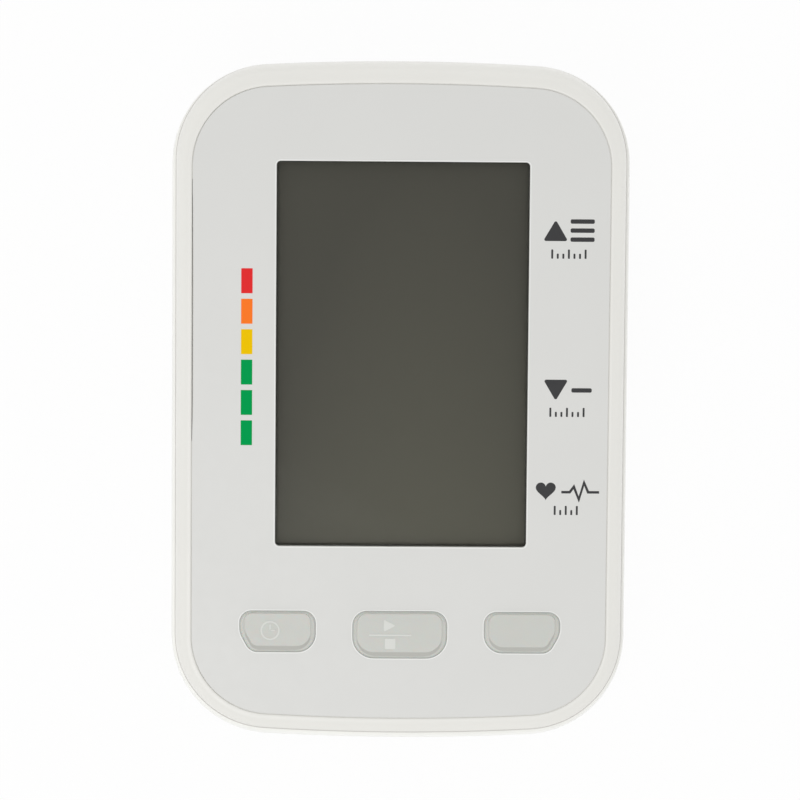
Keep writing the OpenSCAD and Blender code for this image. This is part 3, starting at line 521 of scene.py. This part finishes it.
WINDOW = window_material()
LCD = lcd_material()
KEY_SLOPE_SHADED = slope_material()


# ------------------------------------------------------------------ CAD nodes that stay

# The CAD meshes' points that lie closer than this, in metres, are welded, and edges under this
# angle, in degrees, are shaded smooth
NODE_WELD = 2e-6
SMOOTH_ANGLE = 40


def smooth_group():
    """A modifier's node group that welds a mesh and shades it smooth up to an angle."""
    group = bpy.data.node_groups.new("smooth_by_angle", "GeometryNodeTree")
    group.interface.new_socket("Geometry", in_out="INPUT", socket_type="NodeSocketGeometry")
    group.interface.new_socket("Geometry", in_out="OUTPUT", socket_type="NodeSocketGeometry")
    make = group.nodes.new
    link = group.links.new
    start = make("NodeGroupInput")
    end = make("NodeGroupOutput")
    weld = make("GeometryNodeMergeByDistance")
    weld.inputs["Distance"].default_value = NODE_WELD
    plain = make("GeometryNodeRemoveAttribute")
    plain.inputs["Name"].default_value = "custom_normal"
    faces = make("GeometryNodeSetShadeSmooth")
    edges = make("GeometryNodeSetShadeSmooth")
    edges.domain = "EDGE"
    bend = make("GeometryNodeInputMeshEdgeAngle")
    small = make("FunctionNodeCompare")
    small.data_type = "FLOAT"
    small.operation = "LESS_THAN"
    small.inputs["B"].default_value = math.radians(SMOOTH_ANGLE)
    link(start.outputs["Geometry"], plain.inputs["Geometry"])
    link(plain.outputs["Geometry"], weld.inputs["Geometry"])
    link(weld.outputs["Geometry"], faces.inputs["Geometry"])
    link(faces.outputs["Geometry"], edges.inputs["Geometry"])
    link(bend.outputs["Unsigned Angle"], small.inputs["A"])
    link(small.outputs["Result"], edges.inputs["Shade Smooth"])
    link(edges.outputs["Geometry"], end.inputs["Geometry"])
    return group


def dress_nodes():
    """Gives each CAD node that stays its material and smooth shading."""
    looks = {
        CASE_LOWER_LIT: ["lower_case", "battery_cover", "cover_latch"],
        GASKET: ["display_gasket", "contact_strips", "bleed_valve"],
        LCD: ["lcd_glass"],
        MILKY: ["light_guide", "lcd_holder", "air_manifold", "air_hoses", "air_socket",
                "left_plunger", "centre_plunger", "right_plunger"],
        BOARD: ["main_board"],
        DARK: ["board_parts", "key_switches", "buzzer", "pump_head", "power_inlet",
               "pressure_sensor", "pump_foam"],
        STEEL: ["board_screws", "pump_motor", "release_valve", "inlet_pin",
                "contact_plates", "case_screws"],
        RUBBER: ["feet"],
    }
    group = smooth_group()
    for material, names in looks.items():
        for name in names:
            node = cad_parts[name]
            if not node.material_slots:
                node.data.materials.append(material)
            for each in node.material_slots:
                each.material = material
            node.modifiers.new("smooth_by_angle", "NODES").node_group = group
            node.modifiers.new("even_normals", "WEIGHTED_NORMAL").keep_sharp = True


# ------------------------------------------------------------------ housing and face

# Crown of the bezel from the recess to the rim: share of the flare, height over the panel plane
CROWN = [(0, -0.25), (0.04, -0.07), (0.12, 0), (0.3, -0.1), (0.52, -0.6), (0.72, -1.6),
         (0.88, -3.3), (0.97, -5.8), (1, -BEZEL_H + 0.15)]
CROWN_STEPS = 5
# Rounding of the rim: inset, height over the rim
RIM_EDGE = [(0.04, 0.04), (0.15, 0)]
# Ceiling inside the bezel, from its outer wall inwards: share of the flare, height over the ceiling
CEILING = [(0.9, -1.6), (0.7, -0.5), (0.45, 0)]
# How far the bezel reaches under the panel
PANEL_SEAT = 3
# How far a ledge reaches under the gap round the panel, its depth, and how much deeper it lies in
# the left corners
GAP_LEDGE = 0.09
LEDGE_DEPTH = 0.27
CORNER_DROP = 0.1
# Least lean of the bezel's outer wall, as a slope, at its sides and at its front
LEAN_SIDE = 0.07
LEAN_FRONT = 0.19


def outward_ways():
    """Outward direction at each point of the parting outline."""
    return [(q[0] - p[0], q[1] - p[1]) for p, q in zip(shell_outline(1, 0), shell_outline(1, -1))]


def by_way(d, side, front):
    """A size that is side at both sides, front at the front and nothing at the flush rear."""
    return side*(1 - d[1]**2) if d[1] > 0 else mix(side, front, d[1]**2)


def wall_lean(d):
    """Least lean of the outer wall that looks a way."""
    return LEAN_SIDE*abs(d[0]) + LEAN_FRONT*max(0, -d[1])


def smooth_through(points, count):
    """A smooth curve through points, with count steps between neighbours."""
    ends = [points[0]] + points + [points[-1]]
    curve = []
    for a, b, c, d in zip(ends, ends[1:], ends[2:], ends[3:]):
        for t in steps(0, 1, count)[:-1]:
            curve.append(tuple(
                0.5*(2*q + (r - p)*t + (2*p - 5*q + 4*r - s)*t*t + (3*q - p - 3*r + s)*t**3)
                for p, q, r, s in zip(a, b, c, d)))
    return curve + [points[-1]]


def make_bezel():
    """The upper case as a ring: it is open under the panel, where nothing of it shows."""
    bm = bmesh.new()
    ways = outward_ways()
    lip_w = -BEZEL_H + LIP_H + FIT
    lip_inset = WALL/2 - FIT/2
    section = [(0, PANEL_SEAT, -PANEL_T), (0, GAP_LEDGE, -PANEL_T), (0, GAP_LEDGE, -LEDGE_DEPTH)]
    section += [(share, 0, w) for share, w in smooth_through(CROWN, CROWN_STEPS)]
    section += [(1, inset, -BEZEL_H + up) for inset, up in RIM_EDGE]
    section += [(1, lip_inset, -BEZEL_H), (1, lip_inset, lip_w), (1, WALL, lip_w)]
    section += [(share, WALL, CEILING_W + up) for share, up in CEILING]
    section.append((0, PANEL_SEAT, CEILING_W))
    rings = []
    for share, inset, w in section:
        leant = [
            min(share, 1 - (BEZEL_H + w)*wall_lean(d)/mix(RIM_SIDE, RIM_END, d[1]**2)) for d in ways
        ]
        ends = zip(shell_outline(0, inset), shell_outline(1, inset), leant)
        outline = [(mix(p[0], q[0], t), mix(p[1], q[1], t)) for p, q, t in ends]
        rings.append(add_ring(bm, outline, w))
    for vert, d in zip(rings[2], ways):
        if stands_off(vert.co.x, vert.co.y) > 0:
            vert.co.z = -PANEL_T
        elif d[0] < 0:
            vert.co.z += 2*CORNER_DROP*d[0]*abs(d[1])
    join_rings(bm, rings, around=True)
    bezel = new_piece("bezel", bm, CASE)
    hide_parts("upper_case")


def window_outline(grow):
    return moved(box_outline(WINDOW_W, WINDOW_L, WINDOW_CORNER, grow), FACE_U, WINDOW_V)


def panel_holes():
    """Outlines of the panel's holes by name, each a function of how far it grows."""
    holes = {"window": window_outline}
    for side, name in KEY_NAMES.items():
        holes[f"{name}_key"] = (
            lambda grow, side=side: moved(key_outline(side, grow), *key_middle(side)))
    return holes


def make_panel():
    """The flat panel with its holes for the window and the keys."""
    holes = list(panel_holes().values())
    panel = plate("front_panel", panel_outline, holes, -PANEL_T, 0, PANEL_EDGE, PANEL)
    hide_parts("face_panel")


# Width of the painted highlight where the holes' edges catch light, its lower and upper side over
# the panel, and its rounding
HAIRLINE_W = 0.3
HAIRLINE_LOW = -0.004
HAIRLINE_HIGH = 0.012
HAIRLINE_EDGE = 0.004


def make_hairlines():
    """A painted highlight round the window and the keys: a paler strip where the panel's hole edges
    catch light.
    """
    for name, outline in panel_holes().items():
        line = plate(f"{name}_hairline", lambda grow: outline(HAIRLINE_W + grow),
                     [lambda grow: outline(PANEL_EDGE + grow)],
                     HAIRLINE_LOW, HAIRLINE_HIGH, HAIRLINE_EDGE, HAIRLINE_HIGHLIGHT)


# The lower case's shoulder: its reach as a share of the belly, and its section as share of that
# reach and depth below the rim
SHOULDER = 0.56
SHOULDER_SECTION = [(0.8, 0.1), (0.93, 0.25), (1, 0.6), (1, 1.5)]
# Depths below the rim at which it starts outside, ends under itself and closes at the back
SHOULDER_START = 0.06
SHOULDER_END = 1.9
SHOULDER_BACK = 0.45
# The painted shade at the joint above the shoulder, standing for the bezel's contact shadow: its
# width and its depths below the rim
JOINT_SIDE = 0.14
JOINT_FRONT = 0.24
JOINT_TOP = 0.03
JOINT_FOOT = 0.4
# How far both reach in under the bezel, and how far they overlap
HIDDEN_REACH = 0.4
OVERLAP = 0.02


def make_shoulder():
    """The lower case's step outside the bezel, with a strip of painted shade at the joint on it.
    Both end at the flush rear."""
    flush = shell_outline(1, 0)
    ways = outward_ways()

    def ring(bm, reach, depth):
        """Ring at a reach past the flush outline, where reach is a function of the way out."""
        outline = [(p[0] + d[0]*reach(d), p[1] + d[1]*reach(d)) for p, d in zip(flush, ways)]
        return add_ring(bm, outline, -BEZEL_H - depth)

    def hidden(_):
        return -HIDDEN_REACH

    def joint(d):
        return by_way(d, JOINT_SIDE, JOINT_FRONT)

    def joint_edge(d):
        return joint(d) - OVERLAP

    def shoulder(share):
        return lambda d: max(joint(d), SHOULDER*by_way(d, BELLY, FRONT_BELLY)*share)

    step = [(joint_edge, SHOULDER_START)]
    step += [(shoulder(share), depth) for share, depth in SHOULDER_SECTION]
    step += [(hidden, SHOULDER_END), (hidden, SHOULDER_BACK)]
    # Painted shade: the strip on the shoulder where the bezel's contact shadow falls
    shade = [(hidden, JOINT_TOP), (joint, JOINT_TOP + OVERLAP), (joint, JOINT_FOOT),
             (hidden, JOINT_FOOT)]
    rows = (("case_joint_shade", SEAM_SHADE, shade), ("case_shoulder", CASE_LOWER_LIT, step))
    for name, material, section in rows:
        bm = bmesh.new()
        join_rings(bm, [ring(bm, reach, depth) for reach, depth in section], around=True)
        new_piece(name, bm, material)


# Gap round the clear window and the rounding of its edge
WINDOW_GAP = 0.05
WINDOW_EDGE = 0.1


def make_window():
    """The clear window, flush with the panel."""
    window = plate("window", lambda grow: window_outline(grow - WINDOW_GAP), [],
                   -PANEL_T, 0, WINDOW_EDGE, WINDOW)
    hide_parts("display_window")


# How far the brim and the face end inside the key's left, right, lower and upper side, and the
# heights of the brim and of its outer edge over the panel
KEY_BRIM_INSET = (0.5, 0.5, 0.06, 0.06)
KEY_FACE_INSET = (0.92, 0.95, 1.25, 0.25)
KEY_BRIM_H = 0.04
KEY_BRIM_EDGE = 0.08
# Height of the skirt that closes the gap round a key, over the panel's face, its bevel and its own
# gap
KEY_SKIRT_W = -0.14
KEY_SKIRT_BEVEL = 0.05
KEY_SKIRT_FIT = 0.04
SLOPE_STEPS = 6


def key_place(side):
    u, v = key_middle(side)
    return SLOPE @ Matrix.Translation((u, v, 0))


def make_key(side):
    """A key cap: a flat face, a slope that is widest at its lower side, and a low brim round it."""
    bm = bmesh.new()
    flange_w = CEILING_W - KEY_SEAT
    brim = key_outline(side, -KEY_GAP, KEY_BRIM_INSET)
    face = key_outline(side, -KEY_GAP, KEY_FACE_INSET)
    rings = []
    for t in steps(0, 1, SLOPE_STEPS):
        outline = [(mix(p[0], q[0], t), mix(p[1], q[1], t)) for p, q in zip(face, brim)]
        rings.append(add_ring(bm, outline, mix(KEY_RISE, KEY_BRIM_H, t*t*(3 - 2*t))))
    join_rings(bm, rings)
    for each in bm.faces:
        each.material_index = 1
    outside = [rings[-1]]
    for q in steps(0, math.pi/2, EDGE_STEPS):
        outline = key_outline(side, -KEY_GAP - KEY_BRIM_EDGE*(1 - math.sin(q)))
        outside.append(add_ring(bm, outline, KEY_BRIM_H - KEY_BRIM_EDGE*(1 - math.cos(q))))
    skirt = [(-KEY_GAP, KEY_SKIRT_W), (-KEY_SKIRT_FIT, KEY_SKIRT_W - KEY_SKIRT_BEVEL),
             (-KEY_SKIRT_FIT, flange_w), (KEY_FLANGE, flange_w),
             (KEY_FLANGE, flange_w - KEY_FLANGE_T)]
    outside += [add_ring(bm, key_outline(side, grow), w) for grow, w in skirt]
    join_rings(bm, outside)
    bm.faces.new(rings[0])
    bm.faces.new(outside[-1])
    name = KEY_NAMES[side]
    key = new_piece(f"{name}_key_cap", bm, KEY, f"{name}_key", key_place(side), second=KEY_SLOPE_SHADED)
    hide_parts(f"{name}_key")


# Height of the signs over a key's face, and how far they reach into it
EMBOSS_H = 0.07
EMBOSS_ROOT = 0.05


def emboss(name, side, outer, hole=None):
    """A raised sign on a key's face, about the key's own middle."""
    bm = bmesh.new()
    outlines = [outer] if hole is None else [outer, hole]
    heights = (KEY_RISE - EMBOSS_ROOT, KEY_RISE + EMBOSS_H)
    walls = [[add_ring(bm, outline, w) for w in heights] for outline in outlines]
    for rings in walls:
        join_rings(bm, rings)
    for k in (0, 1):
        fill_between(bm, [rings[k] for rings in walls])
    sign = new_piece(name, bm, EMBOSSED, f"{KEY_NAMES[side]}_key", key_place(side))


def make_key_signs():
    """Start and stop on the middle key, a clock on the left one."""
    emboss("start_sign", 0, rounded([(-3.5, 0.75), (-0.9, 2.1), (-3.5, 3.45)], [0.2]*3))
    emboss("between_sign", 0, bar(-2.1, 0, 9.2, 0.35))
    emboss("stop_sign", 0, moved(box_outline(2.3, 2.3, 0.25), -2.1, -1.9))
    emboss("clock_rim", -1, circle(-1.6, 0.3, 2.1), circle(-1.6, 0.3, 1.75))
    emboss("clock_hand_long", -1, bar(-1.6, 0.95, 0.3, 1.4))
    emboss("clock_hand_short", -1, bar(-1.1, 0.35, 1.1, 0.3))


# ------------------------------------------------------------------ print on the panel

# Lower and upper side of the ink over the panel
PRINT_LOW = 0.002
PRINT_HIGH = 0.012
# The scale beside the display: its middle across, the segments' width and length, the upper end of
# the first one and the distance from one to the next
BAR_U = -33.25
BAR_W = 2.45
BAR_TOP = 29.07
BAR_PITCH = 6.59
BAR_L = 5.4
BAR_COLORS = [srgb(224, 48, 50), srgb(250, 122, 43), srgb(237, 194, 6)] + [srgb(3, 154, 77)]*3
BAR_CORNER = 0.08


def printed(name, outlines, material):
    """Thin ink on the panel, one flat shape for each outline."""
    bm = bmesh.new()
    for outline in outlines:
        rings = [add_ring(bm, outline, w) for w in (PRINT_LOW, PRINT_HIGH)]
        join_rings(bm, rings)
        fill_between(bm, [rings[0]])
        fill_between(bm, [rings[1]])
    new_piece(name, bm, material)


def make_bar():
    """The scale of coloured segments."""
    for i, color in enumerate(BAR_COLORS):
        ink = surface(f"print_bar_{i}", color, 0.5, drift=0.01, grain=6000, grain_depth=0.001,
                      Specular_IOR_Level=0.02)
        middle = BAR_TOP - i*BAR_PITCH - BAR_L/2
        printed(f"level_{i}", [moved(box_outline(BAR_W, BAR_L, BAR_CORNER), BAR_U, middle)], ink)


def heart(u, v, size):
    points = []
    for q in steps(0, math.tau, 60)[:-1]:
        x = 16*math.sin(q)**3
        y = 13*math.cos(q) - 5*math.cos(2*q) - 2*math.cos(3*q) - math.cos(4*q)
        points.append((u + x*size/34, v + (y + 2)*size/34))
    return points


def triangle(u, v, size, up):
    half = size/2*(1 if up else -1)
    corners = [(-half, -half*0.85), (half, -half*0.85), (0, half*0.85)]
    return moved(rounded(corners, [0.35]*3), u, v)


def bar(u, v, w, l):
    return moved(box_outline(w, l, min(w, l)*0.35), u, v)


def stroke(points, width):
    """Outline of a line of even width through points."""
    points = [Vector(p) for p in points]
    sides = [[], []]
    for i, p in enumerate(points):
        before = (p - points[max(i - 1, 0)]).normalized()
        after = (points[min(i + 1, len(points) - 1)] - p).normalized()
        way = (before + after).normalized()
        across = Vector((-way.y, way.x))
        flat = after if before.length == 0 else before
        reach = width/2/max(0.4, across.dot(Vector((-flat.y, flat.x))))
        sides[0].append(tuple(p + across*reach))
        sides[1].append(tuple(p - across*reach))
    return sides[0] + sides[1][::-1]


MARK_PITCH = 1.2
MARK_W = 0.42
MARK_TALL = 2
MARK_SHORT = 1.1


def scale_marks(u, v, count):
    """A short row of scale marks, the outer and the middle one taller."""
    marks = []
    for i in range(count):
        length = MARK_TALL if i % ((count - 1)//2) == 0 else MARK_SHORT
        middle = u + (i - (count - 1)/2)*MARK_PITCH
        marks.append(bar(middle, v - (MARK_TALL - length)/2, MARK_W, length))
    return marks


# Middles of the three signs beside the display and of the marks under them, across and up the panel
SIGN_U = 36.3
SIGN_V = (37.7, 3.1, -18.9)
MARKS_U = 36.1
MARKS_V = (32.6, -1.7, -23.1)
# The pulse line about the middle of its sign, and its width
PULSE_LINE = [(-1.2, -0.2), (0.6, -0.2), (1.5, 1), (2.6, -1.8), (3.7, 1.9), (4.6, -0.2), (7, -0.2)]
PULSE_LINE_W = 0.55


def make_signs():
    """Plain signs beside the display's three rows: high, low and pulse, each over scale marks."""
    high, low, pulse = SIGN_V
    signs = [
        [triangle(SIGN_U - 3.1, high, 5.4, True)]
        + [bar(SIGN_U + 2.7, high + step, 5.2, 0.95) for step in (-1.95, 0, 1.95)],
        [triangle(SIGN_U - 2.7, low, 5.4, False), bar(SIGN_U + 2.9, low, 4.4, 0.95)],
        [heart(SIGN_U - 4.6, pulse, 4.6), stroke(moved(PULSE_LINE, SIGN_U, pulse), PULSE_LINE_W)],
    ]
    for i, (outlines, marks_v) in enumerate(zip(signs, MARKS_V)):
        printed(f"sign_{i}", outlines, PRINT_BLACK)
        printed(f"scale_marks_{i}", scale_marks(MARKS_U, marks_v, 7 if i < 2 else 5), PRINT_BLACK)


# ------------------------------------------------------------------ battery bay

FOOT_H = 1.5
COVER_T = 1.6
COVER_RIB_H = 0.5
CELL_D = 14.5
CELL_L = 50.5
CELL_SEAT = 0.3
CELL_PITCH = CELL_D + 0.5
CELL_COUNT = 4
CELL_Z = FOOT_H + COVER_T + COVER_RIB_H + CELL_SEAT + CELL_D/2
NUB_L = 1.3
NUB_R = 2.7
SPRING_L = 5.6
PLATE_T = 0.4
BAY_FROM_REAR = 57
BAY_L = CELL_L + SPRING_L + 2*PLATE_T + 2*FIT
BAY_REAR = BODY_L/2 - BAY_FROM_REAR
BAY_Y = BAY_REAR - BAY_L/2
# A cell's wrap: its thickness, the bare length at both ends, and the length of its paler band
WRAP_T = 0.25
WRAP_INSET = 0.4
BAND_L = 15
SPRING_TURNS = 3.5
SPRING_R_WIDE = 4.4
SPRING_R_TIP = 2.6
WIRE_R = 0.35
TURNED_STEPS = 48


def revolve(name, profile, material, place):
    """A turned piece: profile lists radius and height, and flat faces close both ends."""
    bm = bmesh.new()
    rings = [add_ring(bm, circle(0, 0, r, TURNED_STEPS), h) for r, h in profile]
    join_rings(bm, rings)
    bm.faces.new(rings[0])
    bm.faces.new(rings[-1])
    return new_piece(name, bm, material, place=place)


def cell_place(i, h):
    """Place of a cell whose own height runs from its flat end to its nub, h above its flat end."""
    turn = 0 if i % 2 == 0 else math.pi
    return (Matrix.Translation(((i - (CELL_COUNT - 1)/2)*CELL_PITCH, BAY_Y, CELL_Z))
            @ Matrix.Rotation(turn, 4, "Z") @ Matrix.Rotation(-math.pi/2, 4, "X")
            @ Matrix.Translation((0, 0, h)))


def make_cells():
    """Four cells head to tail: a steel can in a two-coloured wrap, with its nub."""
    can_l = CELL_L - NUB_L
    r = CELL_D/2
    can_r = r - WRAP_T
    soft = 0.3
    can = [(can_r - 1.35, 0), (can_r - 0.35, 0), (can_r, soft), (can_r, can_l - soft),
           (can_r - 0.55, can_l), (NUB_R + 0.4, can_l), (NUB_R, can_l + 0.1),
           (NUB_R, CELL_L - soft), (NUB_R - soft, CELL_L)]
    end = [(can_r, WRAP_INSET - 0.05), (r - 0.04, WRAP_INSET), (r, WRAP_INSET + WRAP_T)]
    wrap = end + [(r, can_l - BAND_L)]
    band = [(r, can_l - BAND_L)] + [(radius, can_l - h) for radius, h in reversed(end)]
    for i in range(CELL_COUNT):
        place = cell_place(i, (SPRING_L - CELL_L)/2)
        pieces = [
            revolve(f"cell_{i}_can", can, STEEL, place),
            revolve(f"cell_{i}_wrap", wrap, CELL_WRAP, place),
            revolve(f"cell_{i}_band", band, CELL_BAND, place),
        ]
        for piece in pieces:
            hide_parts("battery_cells")


def make_springs():
    """Tapered coils from the contact plates to the cells' flat ends."""
    per_turn = 28
    sides = 10
    for i in range(CELL_COUNT):
        count = int(SPRING_TURNS*per_turn)
        bm = bmesh.new()
        rings = []
        for k in range(count + 1):
            t = k/count
            r = mix(SPRING_R_WIDE, SPRING_R_TIP, t)
            h = mix(WIRE_R + FIT, SPRING_L - WIRE_R - FIT, t)
            q = math.tau*k/per_turn
            out = Vector((math.cos(q), -math.sin(q), 0))
            middle = out*r + Vector((0, 0, h))
            up = Vector((0, 0, 1))
            rings.append([bm.verts.new(middle + WIRE_R*(out*math.cos(w) + up*math.sin(w)))
                          for w in steps(0, math.tau, sides)[:-1]])
        join_rings(bm, rings)
        bm.faces.new(rings[0])
        bm.faces.new(rings[-1])
        spring = new_piece(f"spring_{i}", bm, STEEL, place=cell_place(i, -BAY_L/2 + PLATE_T))
        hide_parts("battery_springs")


# ------------------------------------------------------------------ stage, light and camera

# Share of its own light with which the floor shows behind the object
FLOOR_GLOW = 0.93
# Half the floor's width, in metres
FLOOR_HALF = 3
# Light from the room: overhead, at the horizon, and how much more comes from the right and the rear
SKY_ABOVE = 0.66
SKY_HORIZON = 1.24
SKY_LEAN = (0, 0.08)


def make_floor():
    """A pale floor that shows white, with the object's faint shadow."""
    material, nodes, links = new_material("floor")
    shader = nodes["Principled BSDF"]
    shader.inputs["Base Color"].default_value = srgb(244, 244, 243)
    shader.inputs["Roughness"].default_value = 0.9
    glow = nodes.new("ShaderNodeEmission")
    glow.inputs["Color"].default_value = (1, 1, 1, 1)
    glow.inputs["Strength"].default_value = 1
    path = nodes.new("ShaderNodeLightPath")
    rays = path.outputs["Is Camera Ray"]
    for kind in ("Is Glossy Ray", "Is Transmission Ray"):
        either = nodes.new("ShaderNodeMath")
        either.operation = "MAXIMUM"
        links.new(rays, either.inputs[0])
        links.new(path.outputs[kind], either.inputs[1])
        rays = either.outputs["Value"]
    seen = nodes.new("ShaderNodeMath")
    seen.operation = "MULTIPLY"
    seen.inputs[1].default_value = FLOOR_GLOW
    links.new(rays, seen.inputs[0])
    blend = nodes.new("ShaderNodeMixShader")
    links.new(seen.outputs["Value"], blend.inputs["Fac"])
    links.new(shader.outputs["BSDF"], blend.inputs[1])
    links.new(glow.outputs["Emission"], blend.inputs[2])
    links.new(blend.outputs["Shader"], nodes["Material Output"].inputs["Surface"])
    bm = bmesh.new()
    bmesh.ops.create_grid(bm, x_segments=1, y_segments=1, size=FLOOR_HALF)
    mesh = bpy.data.meshes.new("floor")
    bm.to_mesh(mesh)
    bm.free()
    mesh.materials.append(material)
    floor = bpy.data.objects.new("floor", mesh)
    bpy.context.scene.collection.objects.link(floor)


# Place in metres, size in metres and power in watts of the lamp, and the place that it faces
LAMP_PLACE = (-0.15, -0.3, 0.7)
LAMP_SIZE = 0.3
LAMP_POWER = 0.9
LAMP_AIM = (0, 0, 0.03)


def make_world():
    """A white room, brighter all round than overhead and underneath."""
    world = bpy.data.worlds.new("studio")
    bpy.context.scene.world = world
    world.use_nodes = True
    nodes, links = world.node_tree.nodes, world.node_tree.links
    way = nodes.new("ShaderNodeTexCoord")
    split = nodes.new("ShaderNodeSeparateXYZ")
    links.new(way.outputs["Generated"], split.inputs["Vector"])
    height = nodes.new("ShaderNodeMath")
    height.operation = "ABSOLUTE"
    links.new(split.outputs["Z"], height.inputs[0])
    lean = nodes.new("ShaderNodeVectorMath")
    lean.operation = "DOT_PRODUCT"
    lean.inputs[1].default_value = SKY_LEAN + (0,)
    links.new(way.outputs["Generated"], lean.inputs[0])
    level = nodes.new("ShaderNodeMapRange")
    level.inputs["To Min"].default_value = SKY_HORIZON
    level.inputs["To Max"].default_value = SKY_ABOVE
    links.new(height.outputs["Value"], level.inputs["Value"])
    light = nodes.new("ShaderNodeMath")
    light.operation = "ADD"
    links.new(level.outputs["Result"], light.inputs[0])
    links.new(lean.outputs["Value"], light.inputs[1])
    sky = nodes["Background"]
    links.new(light.outputs["Value"], sky.inputs["Color"])
    sky.inputs["Strength"].default_value = 1


def soft_lamp(name, place, size, power):
    """A soft square lamp that faces the middle of the object."""
    light = bpy.data.lights.new(name, "AREA")
    light.shape = "SQUARE"
    light.size = size
    light.energy = power
    lamp = bpy.data.objects.new(name, light)
    bpy.context.scene.collection.objects.link(lamp)
    lamp.location = place
    aim = Vector(LAMP_AIM) - lamp.location
    lamp.rotation_euler = aim.to_track_quat("-Z", "Y").to_euler()


# The camera's sensor, distance, turns about the panel's u, v and w, and shift, in mm and degrees,
# and the size of a picture element on the panel
SENSOR_W = 36
CAMERA_D = 850
CAMERA_TURN = (5.82, 0.8, -0.38)
CAMERA_SHIFT = (0.14, 9.69)
SCALE_AT_PANEL = 0.216
FRAME_PX = 800


def make_camera():
    camera = bpy.data.cameras.new("camera")
    camera.sensor_width = SENSOR_W
    camera.lens = SENSOR_W*CAMERA_D/(SCALE_AT_PANEL*FRAME_PX)
    camera.clip_start = 0.01
    camera.clip_end = 20
    eye = bpy.data.objects.new("camera", camera)
    bpy.context.scene.collection.objects.link(eye)
    turn = Matrix.Identity(4)
    for angle, axis in zip(CAMERA_TURN, "XYZ"):
        turn = Matrix.Rotation(math.radians(angle), 4, axis) @ turn
    back = Matrix.Translation((-CAMERA_SHIFT[0], -CAMERA_SHIFT[1], CAMERA_D))
    place = SLOPE @ Matrix.Translation((0, WINDOW_V, 0)) @ turn.inverted() @ back
    place.translation = place.translation*0.001
    eye.matrix_world = place
    bpy.context.scene.camera = eye


make_camera()
make_world()
make_floor()
soft_lamp("key_lamp", LAMP_PLACE, LAMP_SIZE, LAMP_POWER)
bpy.context.scene.view_settings.view_transform = "Standard"

dress_nodes()
make_bezel()
make_panel()
make_window()
for key_side in KEY_NAMES:
    make_key(key_side)
make_key_signs()
make_hairlines()
make_shoulder()
make_bar()
make_signs()
make_cells()
make_springs()
